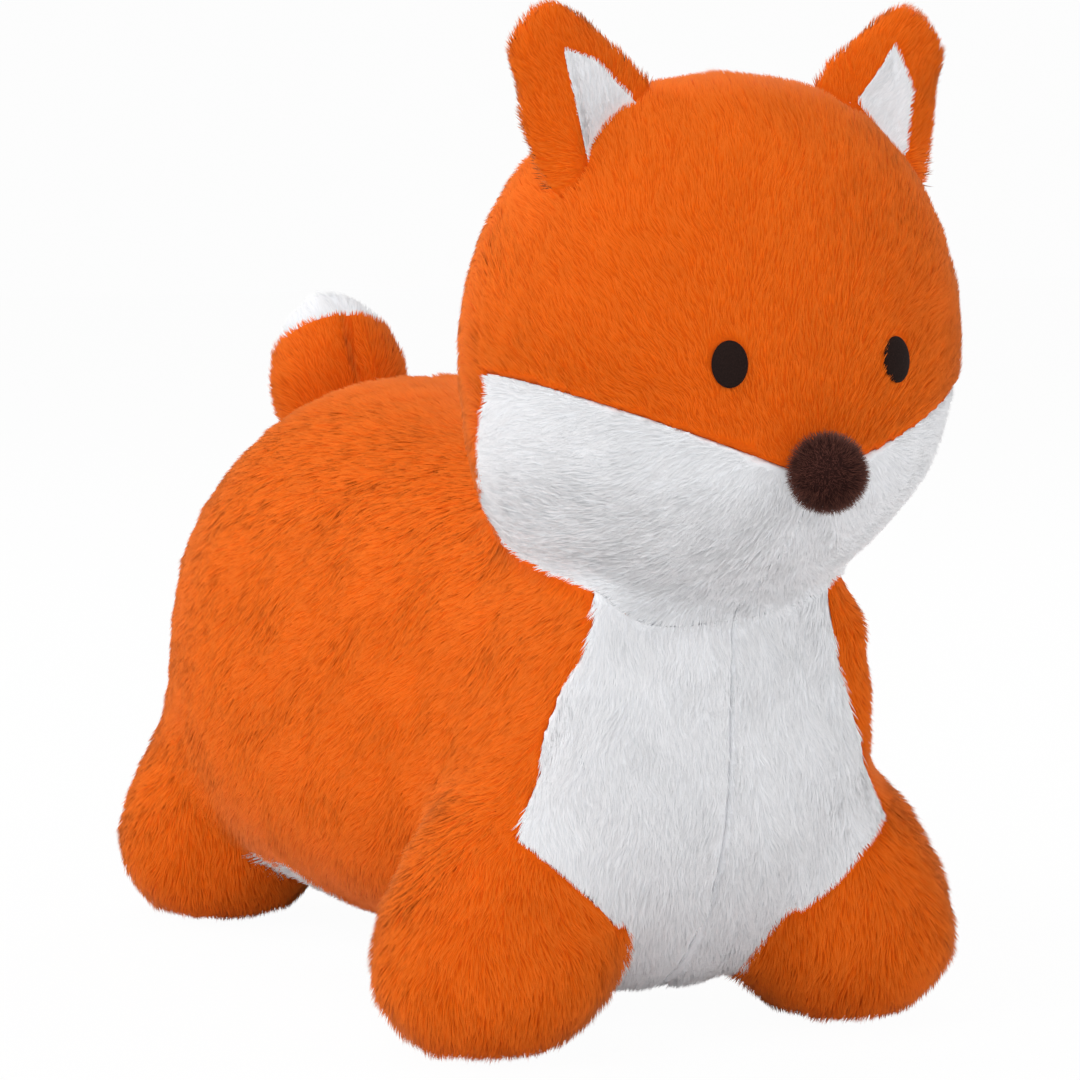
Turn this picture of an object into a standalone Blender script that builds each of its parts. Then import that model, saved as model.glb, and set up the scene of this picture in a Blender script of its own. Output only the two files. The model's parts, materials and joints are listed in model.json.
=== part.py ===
"""Bouncy ride-on fox: a sewn plush cover over an inflated bladder.

The fox faces -Y, its right side is at -X and it stands on z = 0. Every soft
form is a sphere drawn out along a spine, so that it swells and tapers. The
cover is a shell between each form and the same form drawn in by the thickness
of the plush, cut into the panels that a pattern maker would sew. The bladder
fills the space inside, and a zip under the belly lets it in and out.
All sizes are in metres.
"""

import math

import bmesh
import bpy
from mathutils import Matrix, Vector
from mathutils.bvhtree import BVHTree

# Clearances and walls
TOUCH_GAP = 0.0003
COVER_THICKNESS = 0.007
BLADDER_WALL = 0.0015
BEND_GAP = 0.0009
SOLE_FLAT = 0.0005
MERGE = 0.00001
# Longer than the whole fox, for cutters that pass right through.
FAR = 1.0

# Body
BODY_FRONT_Y = -0.2284
BODY_LENGTH = 0.512
BODY_REAR_Y = BODY_FRONT_Y + BODY_LENGTH
BODY_WIDTH = 0.276
BODY_HEIGHT = 0.289
BELLY_CLEARANCE = 0.019
BODY_SQUARENESS = 2.6
PEAR_FRONT = 0.14
PEAR_REAR = 0.09
# Share of the length, then shares of the height at the belly and at the back,
# then the share of the half width.
BODY_PROFILE = (
    (0.000, 0.560, 0.560, 0.000),
    (0.022, 0.320, 0.770, 0.550),
    (0.060, 0.170, 0.840, 0.645),
    (0.150, 0.012, 0.910, 0.685),
    (0.268, -0.004, 0.930, 0.735),
    (0.443, -0.006, 0.955, 0.880),
    (0.637, -0.006, 0.998, 0.990),
    (0.753, 0.005, 0.993, 1.015),
    (0.870, 0.050, 0.888, 0.945),
    (0.951, 0.168, 0.730, 0.740),
    (0.986, 0.300, 0.607, 0.430),
    (1.000, 0.445, 0.445, 0.000),
)

# Head
NECK_HEIGHT = 0.186
HEAD_BOTTOM_Z = BELLY_CLEARANCE + NECK_HEIGHT
HEAD_HEIGHT = 0.2668
HEAD_TOP_Z = HEAD_BOTTOM_Z + HEAD_HEIGHT
HEAD_WIDTH = 0.2455
HEAD_DEPTH = 0.220
HEAD_SETBACK = 0.035
HEAD_CENTRE_Y = BODY_FRONT_Y + HEAD_SETBACK
# Share of the height, then the share of the half width, then how far the head
# reaches forwards and backwards of its centre as shares of the half depth.
HEAD_PROFILE = (
    (0.000, 0.000, -0.118, 0.118),
    (0.017, 0.290, 0.100, 0.480),
    (0.057, 0.490, 0.325, 0.880),
    (0.128, 0.665, 0.570, 1.120),
    (0.181, 0.755, 0.725, 1.200),
    (0.234, 0.825, 0.845, 1.220),
    (0.290, 0.885, 0.935, 1.180),
    (0.396, 0.955, 0.995, 1.090),
    (0.508, 1.000, 1.000, 1.000),
    (0.622, 0.980, 0.950, 0.930),
    (0.735, 0.910, 0.860, 0.810),
    (0.848, 0.765, 0.725, 0.615),
    (0.942, 0.530, 0.505, 0.315),
    (0.987, 0.270, 0.290, 0.080),
    (1.000, 0.000, 0.090, -0.090),
)
MUZZLE_SWELL = 0.002
MUZZLE_SPREAD = 0.040
MUZZLE_RISE = 0.079
# The seam round the head, then where it ends behind the cheek.
RING_SEAM_LEAD = 0.002
RING_SEAM_RISE = 0.120
CHEEK_SETBACK = 0.068
CHEEK_RISE = 0.043
RING_SEAM_Y = HEAD_CENTRE_Y - RING_SEAM_LEAD
CHEEK_REAR_Y = HEAD_CENTRE_Y + CHEEK_SETBACK

# Legs
FRONT_LEG_INSET = 0.0405
FRONT_LEG_SETBACK = 0.078
FRONT_LEG_RADIUS = 0.0615
FRONT_LEG_HEIGHT = 0.159
FRONT_LEG_LEAN = 0.036
HIND_LEG_INSET = 0.0365
HIND_LEG_SETIN = 0.074
HIND_LEG_RADIUS = 0.0640
HIND_LEG_HEIGHT = 0.158
HIND_LEG_LEAN = 0.030
# Share of the height, then the share of the radius.
LEG_PROFILE = (
    (0.000, 0.000),
    (0.016, 0.410),
    (0.075, 0.705),
    (0.210, 0.940),
    (0.360, 1.000),
    (0.570, 0.935),
    (0.770, 0.760),
    (0.925, 0.440),
    (1.000, 0.000),
)

# Tail, measured along its spine from the middle of its ball-shaped root
TAIL_SETIN = 0.036
TAIL_BALL_RADIUS = 0.034
TAIL_SEAT_DEPTH = 0.004
TAIL_LENGTH = 0.0855
TAIL_WIDTH = 0.084
TAIL_LEAN_DEG = 23.0
TAIL_TIP_SHARE = 0.70
TAIL_TIP_TILT_DEG = 14.0
TAIL_SLEEVE_HOLE = 0.010
TAIL_THICKNESS = 0.005
# Shares of the ball's radius along and across, then shares of the length
# along and of the half width across.
TAIL_BALL_PROFILE = ((-1.00, 0.00), (-0.94, 0.34), (-0.70, 0.714), (-0.35, 0.937), (0.00, 1.00))
TAIL_PROFILE = ((0.38, 1.00), (0.70, 0.84), (0.93, 0.42), (1.00, 0.00))

# Ears, as an outline in the plane of the ear
EAR_LEAD = 0.0195
EAR_Y = HEAD_CENTRE_Y - EAR_LEAD
EAR_RISE = 0.0310
EAR_ROOT_TOP_DROP = 0.0095
EAR_ROOT_LOW_DROP = 0.0590
EAR_INBOARD = 0.0090
EAR_TIP_INBOARD = 0.0215
EAR_TIP_Z = HEAD_TOP_Z + EAR_RISE
EAR_BASE_HIGH_Z = HEAD_TOP_Z - EAR_ROOT_TOP_DROP
EAR_BASE_LOW_Z = HEAD_TOP_Z - EAR_ROOT_LOW_DROP
EAR_OUTER_X = HEAD_WIDTH / 2 - EAR_INBOARD
EAR_TIP_X = EAR_OUTER_X - EAR_TIP_INBOARD
EAR_HALF_THICKNESS = 0.0135
EAR_SKIN = 0.0035
EAR_ROOT_STEPS = 6
EAR_ROOT_THINNING = 0.40
EAR_TAPER_LENGTH = 0.022
EAR_FOLD_DEG = 26.0
EAR_WINDOW_SHARE = 0.52
EAR_WINDOW_DRIFT = 0.004
EAR_SLOT_HALF_LENGTH = 0.010
EAR_SLOT_HALF_WIDTH = 0.0012
# The outer edge, out from EAR_OUTER_X and up from the root, then the rounded
# point and the inner edge, out and up from the tip: shares of the ear's height.
EAR_EDGE = ((-0.070, 0.28), (-0.030, 0.55), (0.005, 0.79))
EAR_CROWN = (
    (0.139, -0.062),
    (0.000, 0.000),
    (-0.147, -0.050),
    (-0.345, -0.210),
    (-0.495, -0.350),
)

# Face
EYE_X = 0.0435
EYE_RISE = 0.135
EYE_WIDTH = 0.0168
EYE_HEIGHT = 0.0226
EYE_DEPTH = 0.0075
EYE_SINK = 0.0012
NOSE_RISE = 0.0855
NOSE_RADIUS = 0.0180
NOSE_SINK = 0.0105
MASK_RISE = 0.0825
MASK_RISE_PER_WIDTH = 0.335

# Chest and belly panels, their heights measured from the belly
CHEST_NECK_HALF_WIDTH = 0.066
CHEST_CORNER_HALF_WIDTH = 0.0995
CHEST_CORNER_RISE = 0.092
CHEST_FOOT_HALF_WIDTH = 0.060
CHEST_FOOT_RISE = 0.026
CHEST_DEPTH = 0.0860
BELLY_FRONT_HALF_WIDTH = 0.078
BELLY_REAR_HALF_WIDTH = 0.106
BELLY_SETIN = 0.069
BELLY_RISE = 0.061
CHEST_REAR_Y = BODY_FRONT_Y + CHEST_DEPTH
BELLY_REAR_Y = BODY_REAR_Y - BELLY_SETIN
BELLY_TOP_Z = BELLY_CLEARANCE + BELLY_RISE

# Zip along the middle of the belly
ZIP_SETBACK = 0.143
ZIP_SETIN = 0.129
ZIP_FRONT_Y = BODY_FRONT_Y + ZIP_SETBACK
ZIP_REAR_Y = BODY_REAR_Y - ZIP_SETIN
ZIP_SLIT_HALF_WIDTH = 0.0110
ZIP_RISE = 0.0021
TAPE_THICKNESS = 0.0012
TEETH_PITCH = 0.0050
TEETH_HEIGHT = 0.0030
TEETH_REACH = 0.0012
TEETH_ROOT_X = 0.0030
TEETH_BACK_X = 0.0042
SLIDER_LENGTH = 0.0150
SLIDER_HALF_WIDTH = 0.0072
SLIDER_PLATE = 0.0014
SLIDER_CLEARANCE = 0.0005
SLIDER_POST_LENGTH = 0.0040
SLIDER_POST_WIDTH = 0.0030
BRIDGE_HALF_WIDTH = 0.0012
BRIDGE_WALL = 0.0012
BRIDGE_PLACE = 0.35
PULL_LENGTH = 0.0150
PULL_WIDTH = 0.0080
PULL_THICKNESS = 0.0014
PULL_PIN_RADIUS = 0.0010
PULL_EYE_RADIUS = 0.0026
STOP_LENGTH = 0.0040

# Valve in the underside of the bladder
VALVE_FROM_ZIP = 0.145
VALVE_Y = ZIP_FRONT_Y + VALVE_FROM_ZIP
VALVE_FLANGE_RADIUS = 0.0200
VALVE_FLANGE = 0.0015
VALVE_FLANGE_LIFT = 0.0012
VALVE_LIP_LIFT = 0.0004
VALVE_WELL_RADIUS = 0.0110
VALVE_WALL = 0.0015
VALVE_WELL_DEPTH = 0.0170
VALVE_NECK_RADIUS = 0.0065
VALVE_NECK_LENGTH = 0.0120
VALVE_BORE_RADIUS = 0.0035
PLUG_HEAD_RADIUS = 0.0075
PLUG_HEAD_THICKNESS = 0.0025
PLUG_BEVEL = 0.0010
PLUG_SHANK_LENGTH = 0.0100
PLUG_POINT_SHARE = 0.7

# Facet counts, around and along
BODY_FACETS = (24, 15)
HEAD_FACETS = (24, 13)
LEG_FACETS = (14, 10)
TAIL_FACETS = (14, 8)
EAR_FACETS = (18, 6)
INNER_FACETS = (12, 8)
INNER_LEG_FACETS = (8, 6)
OVAL_FACETS = (14, 8)
DIMPLE_FACETS = (24, 16)
ROUND_FACETS = 20
BAR_FACETS = 12

SIDES = (("right", -1), ("left", 1))
FRONT_LEG_X = BODY_WIDTH / 2 - FRONT_LEG_INSET
FRONT_LEG_Y = BODY_FRONT_Y + FRONT_LEG_SETBACK
HIND_LEG_X = BODY_WIDTH / 2 - HIND_LEG_INSET
HIND_LEG_Y = BODY_REAR_Y - HIND_LEG_SETIN
LEGS = (
    ("front", FRONT_LEG_X, FRONT_LEG_Y, FRONT_LEG_RADIUS, FRONT_LEG_HEIGHT, FRONT_LEG_LEAN),
    ("hind", HIND_LEG_X, HIND_LEG_Y, HIND_LEG_RADIUS, HIND_LEG_HEIGHT, HIND_LEG_LEAN),
)


def clear_scene():
    """Remove what the scene holds, and make the two collections."""
    for thing in list(bpy.data.objects):
        bpy.data.objects.remove(thing, do_unlink=True)
    parts = bpy.data.collections.new("ride_on_fox")
    cutters = bpy.data.collections.new("cutters")
    bpy.context.scene.collection.children.link(parts)
    bpy.context.scene.collection.children.link(cutters)
    return parts, cutters


PARTS, CUTTERS = clear_scene()


def linear(channel):
    """One sRGB channel from 0 to 255 as linear light."""
    value = channel / 255
    return value / 12.92 if value <= 0.04045 else ((value + 0.055) / 1.055) ** 2.4


def make_material(name, colour, roughness, metallic=0.0):
    material = bpy.data.materials.new(name)
    material.use_nodes = True
    shader = material.node_tree.nodes["Principled BSDF"]
    red, green, blue = (linear(channel) for channel in colour)
    shader.inputs["Base Color"].default_value = (red, green, blue, 1)
    shader.inputs["Roughness"].default_value = roughness
    shader.inputs["Metallic"].default_value = metallic
    material.diffuse_color = (red, green, blue, 1)
    return material


ORANGE_PLUSH = make_material("orange_plush", (232, 100, 18), 0.95)
WHITE_PLUSH = make_material("white_plush", (232, 233, 236), 0.95)
BROWN_PLUSH = make_material("brown_plush", (76, 44, 40), 0.95)
BROWN_FELT = make_material("brown_felt", (52, 36, 32), 0.90)
FIBRE_FILL = make_material("fibre_fill", (240, 240, 238), 1.00)
BLADDER_PVC = make_material("bladder_pvc", (222, 222, 214), 0.35)
VALVE_PVC = make_material("valve_pvc", (200, 204, 206), 0.40)
ZIP_TAPE = make_material("zip_tape", (228, 228, 226), 0.85)
ZIP_PLASTIC = make_material("zip_plastic", (236, 236, 232), 0.45)
ZIP_METAL = make_material("zip_metal", (176, 178, 182), 0.30, 1.0)


def add_part(name, mesh, material):
    """Put a mesh in the model as a named piece."""
    part = bpy.data.objects.new(name, mesh)
    part.data.materials.clear()
    part.data.materials.append(material)
    PARTS.objects.link(part)
    return part


def add_cutter(name, mesh):
    """Put a mesh in the cutters' collection, out of the render."""
    cutter = bpy.data.objects.new(name, mesh)
    cutter.hide_render = True
    cutter.display_type = "WIRE"
    CUTTERS.objects.link(cutter)
    return cutter


def to_mesh(name, bm):
    """Close a bmesh into a mesh of triangles with its faces pointing out."""
    bm.normal_update()
    bmesh.ops.recalc_face_normals(bm, faces=bm.faces)
    bmesh.ops.triangulate(bm, faces=bm.faces)
    mesh = bpy.data.meshes.new(name)
    bm.to_mesh(mesh)
    bm.free()
    return mesh


def clean(mesh):
    """Merge what a cut left nearly touching, and keep flat triangles only."""
    bm = bmesh.new()
    bm.from_mesh(mesh)
    bmesh.ops.triangulate(bm, faces=bm.faces)
    bmesh.ops.remove_doubles(bm, verts=bm.verts, dist=MERGE)
    bmesh.ops.dissolve_degenerate(bm, edges=bm.edges, dist=MERGE)
    bmesh.ops.triangulate(bm, faces=bm.faces)
    bm.to_mesh(mesh)
    bm.free()


def combine(thing, cutter, operation):
    """Cut, join or keep what two closed solids share, in place."""
    modifier = thing.modifiers.new("cut", "BOOLEAN")
    modifier.operation = operation
    modifier.solver = "EXACT"
    modifier.object = cutter
    graph = bpy.context.evaluated_depsgraph_get()
    mesh = bpy.data.meshes.new_from_object(thing.evaluated_get(graph))
    thing.modifiers.clear()
    old = thing.data
    thing.data = mesh
    bpy.data.meshes.remove(old)
    clean(mesh)


def carve(name, start, steps, material=None):
    """A copy of a solid with each (operation, cutter) done in turn."""
    if material is None:
        thing = add_cutter(name, start.data.copy())
    else:
        thing = add_part(name, start.data.copy(), material)
    for operation, cutter in steps:
        combine(thing, cutter, operation)
    return thing


def set_origin(thing, place):
    """Put a moving piece's origin on the axis that it moves on."""
    thing.data.transform(Matrix.Translation(-place))
    thing.location = place


def joined(name, pieces):
    """Several cutters as one solid."""
    return carve(name, pieces[0], [("UNION", piece) for piece in pieces[1:]])


def finish_soft(thing):
    """Shade the round sides of a piece smooth and leave its cut edges sharp."""
    thing.data.shade_smooth()
    thing.data.set_sharp_from_angle(angle=math.radians(40))


def blend_stations(stations, share):
    """Read a row of stations at a share of its arc, on a smooth curve.

    The curve passes through every station. Beyond each end lies the mirror
    image of the next station, so that the end closes in a round cap.
    """
    def distance(one, two):
        return max(1e-6, math.dist(one, two) ** 0.5)

    first = tuple(stations[1][:3]) + tuple(-value for value in stations[1][3:])
    last = tuple(stations[-2][:3]) + tuple(-value for value in stations[-2][3:])
    points = [first, *stations, last]
    knots = [0.0]
    for one, two in zip(points, points[1:]):
        knots.append(knots[-1] + distance(one, two))
    place = knots[1] + share * (knots[-2] - knots[1])
    index = 1
    while index < len(points) - 3 and place > knots[index + 1]:
        index += 1
    span = knots[index + 1] - knots[index]
    along = (place - knots[index]) / span
    result = []
    for before, one, two, after in zip(*points[index - 1:index + 3]):
        slope_one = (two - before) / (knots[index + 1] - knots[index - 1]) * span
        slope_two = (after - one) / (knots[index + 2] - knots[index]) * span
        result.append(
            one * (2 * along ** 3 - 3 * along ** 2 + 1)
            + two * (3 * along ** 2 - 2 * along ** 3)
            + slope_one * (along ** 3 - 2 * along ** 2 + along)
            + slope_two * (along ** 3 - along ** 2)
        )
    return result


def soft_form(name, stations, across, up, facets, inset=0.0, squareness=2.0, reshape=None):
    """A sphere drawn out along a spine of stations.

    A station is a centre (x, y, z), a half size along across and a half size
    along up. inset draws the whole skin in by that much, or out if negative.
    The sphere is turned by half a facet, so that seams cut through the middle
    of facets and not along their edges.
    """
    around, along = facets
    bm = bmesh.new()
    bmesh.ops.create_uvsphere(bm, u_segments=around, v_segments=along, radius=1.0)
    for vert in bm.verts:
        polar = math.acos(max(-1.0, min(1.0, vert.co.z)))
        x, y, z, half_across, half_up = blend_stations(stations, polar / math.pi)
        turn = math.atan2(vert.co.y, vert.co.x) + math.pi / around
        cosine, sine = math.cos(turn), math.sin(turn)
        power = 2 / squareness
        side = math.copysign(abs(cosine) ** power, cosine)
        rise = math.copysign(abs(sine) ** power, sine)
        if vert.co.xy.length < 1e-4:
            side = rise = 0.0
        vert.co = Vector((x, y, z)) + across * side * half_across + up * rise * half_up
        if reshape:
            reshape(vert.co)
    bm.normal_update()
    bmesh.ops.recalc_face_normals(bm, faces=bm.faces)
    bm.normal_update()
    for vert, normal in [(vert, vert.normal.copy()) for vert in bm.verts]:
        vert.co -= normal * inset
    return add_cutter(name, to_mesh(name, bm))


def body_form(name, facets=BODY_FACETS, inset=0.0):
    stations = []
    for length, low, high, width in BODY_PROFILE:
        y = BODY_FRONT_Y + length * BODY_LENGTH
        middle = BELLY_CLEARANCE + BODY_HEIGHT * (low + high) / 2
        stations.append((0, y, middle, BODY_WIDTH / 2 * width, BODY_HEIGHT * (high - low) / 2))
    across, up = Vector((1, 0, 0)), Vector((0, 0, 1))
    return soft_form(name, stations, across, up, facets, inset, BODY_SQUARENESS, widen_below)


def widen_below(place):
    """Make the body wider low down than high up, like a pear, most of all in front."""
    rise = (place.z - BELLY_CLEARANCE) / BODY_HEIGHT * 2 - 1
    back = (place.y - BODY_FRONT_Y) / BODY_LENGTH
    place.x *= 1 - (PEAR_FRONT + (PEAR_REAR - PEAR_FRONT) * back) * rise


def push_muzzle(place):
    """Swell the front of the head into a low muzzle round the nose."""
    if place.y < HEAD_CENTRE_Y:
        across = place.x / MUZZLE_SPREAD
        rise = (place.z - HEAD_BOTTOM_Z - MUZZLE_RISE) / MUZZLE_SPREAD
        place.y -= MUZZLE_SWELL * math.exp(-across ** 2 - rise ** 2)


def head_form(name, facets=HEAD_FACETS, inset=0.0):
    stations = []
    for height, width, front, rear in HEAD_PROFILE:
        y = HEAD_CENTRE_Y + HEAD_DEPTH / 2 * (rear - front) / 2
        z = HEAD_BOTTOM_Z + height * HEAD_HEIGHT
        stations.append((0, y, z, HEAD_WIDTH / 2 * width, HEAD_DEPTH / 2 * (rear + front) / 2))
    across, up = Vector((1, 0, 0)), Vector((0, 1, 0))
    return soft_form(name, stations, across, up, facets, inset, reshape=push_muzzle)


def leg_form(name, side, leg, facets=LEG_FACETS, inset=0.0):
    _, leg_x, leg_y, radius, height, lean = leg
    stations = []
    for share, size in LEG_PROFILE:
        x = side * (leg_x - lean * share ** 1.5)
        z = share * height - SOLE_FLAT
        stations.append((x, leg_y, z, radius * size, radius * size))
    across, up = Vector((1, 0, 0)), Vector((0, 1, 0))
    return soft_form(name, stations, across, up, facets, inset)


def box(name, low, high):
    """A block between two corners."""
    bm = bmesh.new()
    bmesh.ops.create_cube(bm, size=1.0)
    size = Vector(high) - Vector(low)
    middle = (Vector(high) + Vector(low)) / 2
    bmesh.ops.transform(bm, matrix=Matrix.Translation(middle) @ Matrix.Diagonal((*size, 1)), verts=bm.verts)
    return add_cutter(name, to_mesh(name, bm))


def prism(name, outline, start, depth):
    """A flat outline, a list of points, pushed along depth from start."""
    bm = bmesh.new()
    corners = [bm.verts.new(Vector(start) + Vector(point)) for point in outline]
    face = bm.faces.new(corners)
    pushed = bmesh.ops.extrude_face_region(bm, geom=[face])
    moved = [item for item in pushed["geom"] if isinstance(item, bmesh.types.BMVert)]
    bmesh.ops.translate(bm, vec=Vector(depth), verts=moved)
    return add_cutter(name, to_mesh(name, bm))


def surface_of(form):
    """A search tree of a form's faces."""
    bm = bmesh.new()
    bm.from_mesh(form.data)
    tree = BVHTree.FromBMesh(bm)
    bm.free()
    return tree


def hit(tree, origin, direction):
    """Where a ray meets a form, and the way the surface faces there."""
    place, normal, _, _ = tree.ray_cast(Vector(origin), Vector(direction).normalized())
    return place, normal


def oval(name, place, toward, width, height, depth, facets=OVAL_FACETS):
    """An ellipsoid with its short axis along toward and its height near +Z."""
    bm = bmesh.new()
    bmesh.ops.create_uvsphere(bm, u_segments=facets[0], v_segments=facets[1], radius=0.5)
    out = toward.normalized()
    across = Vector((0, 0, 1)).cross(out).normalized()
    up = out.cross(across)
    turn = Matrix((across, up, out)).transposed().to_4x4()
    size = Matrix.Diagonal((width, height, depth, 1))
    bmesh.ops.transform(bm, matrix=Matrix.Translation(place) @ turn @ size, verts=bm.verts)
    return add_cutter(name, to_mesh(name, bm))


def build_covers_and_bladder():
    """The sewn cover's panels for body, head and legs, and the bladder inside."""
    gap = TOUCH_GAP
    body = body_form("body_form")
    body_grown = body_form("body_grown", inset=-gap)
    body_inner = body_form("body_inner", INNER_FACETS, COVER_THICKNESS)
    head = head_form("head_form")
    head_inner = head_form("head_inner", INNER_FACETS, COVER_THICKNESS)
    floor = box("floor_block", (-FAR, -FAR, -FAR), (FAR, FAR, 0))

    leg_inner = []
    for leg in LEGS:
        for side_name, side in SIDES:
            name = f"{leg[0]}_leg_{side_name}"
            outer = leg_form(name + "_form", side, leg)
            inner = leg_form(name + "_inner", side, leg, INNER_LEG_FACETS, COVER_THICKNESS)
            leg_inner.append(inner)
            outside = joined(name + "_outside", [body_grown, inner, floor])
            finish_soft(carve(name, outer, [("DIFFERENCE", outside)], ORANGE_PLUSH))

    inside = joined("body_inside", [body_inner, head_inner, *leg_inner])
    build_body_panels(carve("body_shell", body, [("DIFFERENCE", inside)]))

    head_inside = joined("head_inside", [body_grown, head_inner])
    build_head_panels(carve("head_shell", head, [("DIFFERENCE", head_inside)]), surface_of(head))
    build_bladder()
    return body, head


def chest_outline(side, inner_x, grow):
    """One half of the chest panel seen from the front, from the middle outwards."""
    neck_z = HEAD_BOTTOM_Z + HEAD_HEIGHT / 2
    foot_z = BELLY_CLEARANCE + CHEST_FOOT_RISE
    corner_z = BELLY_CLEARANCE + CHEST_CORNER_RISE
    half = [
        (inner_x, -BODY_HEIGHT),
        (CHEST_FOOT_HALF_WIDTH + grow, -BODY_HEIGHT),
        (CHEST_FOOT_HALF_WIDTH + grow, foot_z),
        (CHEST_CORNER_HALF_WIDTH + grow, corner_z),
        (CHEST_NECK_HALF_WIDTH + grow, HEAD_BOTTOM_Z),
        (CHEST_NECK_HALF_WIDTH + grow, neck_z),
        (inner_x, neck_z),
    ]
    return [(side * x, 0, z) for x, z in half]


def belly_outline(side, inner_x, front_y, grow):
    """One half of the belly strip seen from above, wider towards the rear."""
    return [
        (side * inner_x, front_y, 0),
        (side * (BELLY_FRONT_HALF_WIDTH + grow), front_y, 0),
        (side * (BELLY_REAR_HALF_WIDTH + grow), BELLY_REAR_Y + grow, 0),
        (side * inner_x, BELLY_REAR_Y + grow, 0),
    ]


def side_box(name, side, low, high):
    """A block on one side of the middle plane, its first size the way out."""
    inner, outer = sorted((side * low[0], side * high[0]))
    return box(name, (inner, *low[1:]), (outer, *high[1:]))


def build_body_panels(body_shell):
    """White chest and belly, orange sides, with a seam down the middle."""
    gap = TOUCH_GAP
    seam = gap / 2
    front = BODY_FRONT_Y - BODY_LENGTH
    chest_depth = CHEST_REAR_Y - front
    slit_low = (-ZIP_SLIT_HALF_WIDTH, ZIP_FRONT_Y - gap, -FAR)
    slit = box("zip_slit", slit_low, (ZIP_SLIT_HALF_WIDTH, ZIP_REAR_Y + gap, FAR))
    for side_name, side in SIDES:
        chest = prism("chest_region", chest_outline(side, seam, 0.0), (0, front, 0), (0, chest_depth, 0))
        strip = belly_outline(side, seam, CHEST_REAR_Y + gap, 0.0)
        belly = prism("belly_region", strip, (0, 0, -BODY_HEIGHT), (0, 0, BODY_HEIGHT + BELLY_TOP_Z))
        combine(belly, slit, "DIFFERENCE")

        chest_grown = chest_outline(side, -BODY_WIDTH / 4, gap)
        around_chest = prism("chest_grown", chest_grown, (0, front - gap, 0), (0, chest_depth + 2 * gap, 0))
        strip = belly_outline(side, -BODY_WIDTH / 3, CHEST_REAR_Y, gap)
        strip_height = BODY_HEIGHT + BELLY_TOP_Z + 2 * gap
        around_belly = prism("belly_grown", strip, (0, 0, -BODY_HEIGHT - gap), (0, 0, strip_height))
        flank = side_box("side_region", side, (seam, -FAR, -FAR), (FAR, FAR, FAR))
        combine(flank, around_chest, "DIFFERENCE")
        combine(flank, around_belly, "DIFFERENCE")
        panels = (("chest_", WHITE_PLUSH, chest), ("belly_", WHITE_PLUSH, belly), ("side_", ORANGE_PLUSH, flank))
        for name, material, region in panels:
            finish_soft(carve(name + side_name, body_shell, [("INTERSECT", region)], material))


def mask_outline(side, inner_x, lift):
    """One half of the white mask seen from the front, under its sloping top edge."""
    far = HEAD_WIDTH
    edge = HEAD_BOTTOM_Z + MASK_RISE + lift
    return [
        (side * inner_x, 0, -far),
        (side * far, 0, -far),
        (side * far, 0, edge + MASK_RISE_PER_WIDTH * far),
        (side * inner_x, 0, edge + MASK_RISE_PER_WIDTH * inner_x),
    ]


def ring_region(name, shift, far_y):
    """All that lies on one side of the seam round the head, moved by shift along Y.

    The seam runs straight down from the ears, then slants back below the cheek.
    """
    top = HEAD_BOTTOM_Z + HEAD_HEIGHT * 2
    low = HEAD_BOTTOM_Z - HEAD_HEIGHT
    outline = [
        (0, far_y, low),
        (0, CHEEK_REAR_Y + shift, low),
        (0, CHEEK_REAR_Y + shift, HEAD_BOTTOM_Z + CHEEK_RISE),
        (0, RING_SEAM_Y + shift, HEAD_BOTTOM_Z + RING_SEAM_RISE),
        (0, RING_SEAM_Y + shift, top),
        (0, far_y, top),
    ]
    return prism(name, outline, (-HEAD_WIDTH, 0, 0), (2 * HEAD_WIDTH, 0, 0))


def build_head_panels(head_shell, head_tree):
    """Orange forehead and back, the white cheeks, the eyes and the nose."""
    gap = TOUCH_GAP
    face = ring_region("face_region", -gap / 2, HEAD_CENTRE_Y - HEAD_DEPTH)
    back = ring_region("back_region", gap / 2, HEAD_CENTRE_Y + HEAD_DEPTH)
    finish_soft(carve("head_back", head_shell, [("INTERSECT", back)], ORANGE_PLUSH))

    brow = carve("brow_region", face, [])
    for side_name, side in SIDES:
        place, facing = hit(head_tree, (side * EYE_X, -FAR, HEAD_BOTTOM_Z + EYE_RISE), (0, 1, 0))
        seat = place - facing * EYE_SINK
        eye = oval("eye_form", seat, facing, EYE_WIDTH, EYE_HEIGHT, EYE_DEPTH)
        finish_soft(carve("eye_" + side_name, eye, [], BROWN_FELT))
        sizes = (EYE_WIDTH + 2 * gap, EYE_HEIGHT + 2 * gap, EYE_DEPTH + 2 * gap)
        combine(brow, oval("eye_pocket", seat, facing, *sizes), "DIFFERENCE")
    forward = Vector((0, -1, 0))
    place, _ = hit(head_tree, (0, -FAR, HEAD_BOTTOM_Z + NOSE_RISE), (0, 1, 0))
    seat = place + forward * (NOSE_RADIUS - NOSE_SINK)
    size = 2 * NOSE_RADIUS
    finish_soft(carve("nose_ball", oval("nose_form", seat, forward, size, size, size), [], BROWN_PLUSH))
    size += 2 * gap
    nose_pocket = oval("nose_pocket", seat, forward, size, size, size)

    for side_name, side in SIDES:
        outline = mask_outline(side, gap / 2, 0.0)
        mask = prism("mask_region", outline, (0, -FAR, 0), (0, 2 * FAR, 0))
        combine(mask, face, "INTERSECT")
        combine(mask, nose_pocket, "DIFFERENCE")
        finish_soft(carve("cheek_" + side_name, head_shell, [("INTERSECT", mask)], WHITE_PLUSH))
        around_mask = prism("mask_grown", mask_outline(side, -gap, gap), (0, -FAR, 0), (0, 2 * FAR, 0))
        combine(brow, around_mask, "DIFFERENCE")
    combine(brow, nose_pocket, "DIFFERENCE")
    finish_soft(carve("forehead", head_shell, [("INTERSECT", brow)], ORANGE_PLUSH))


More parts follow.
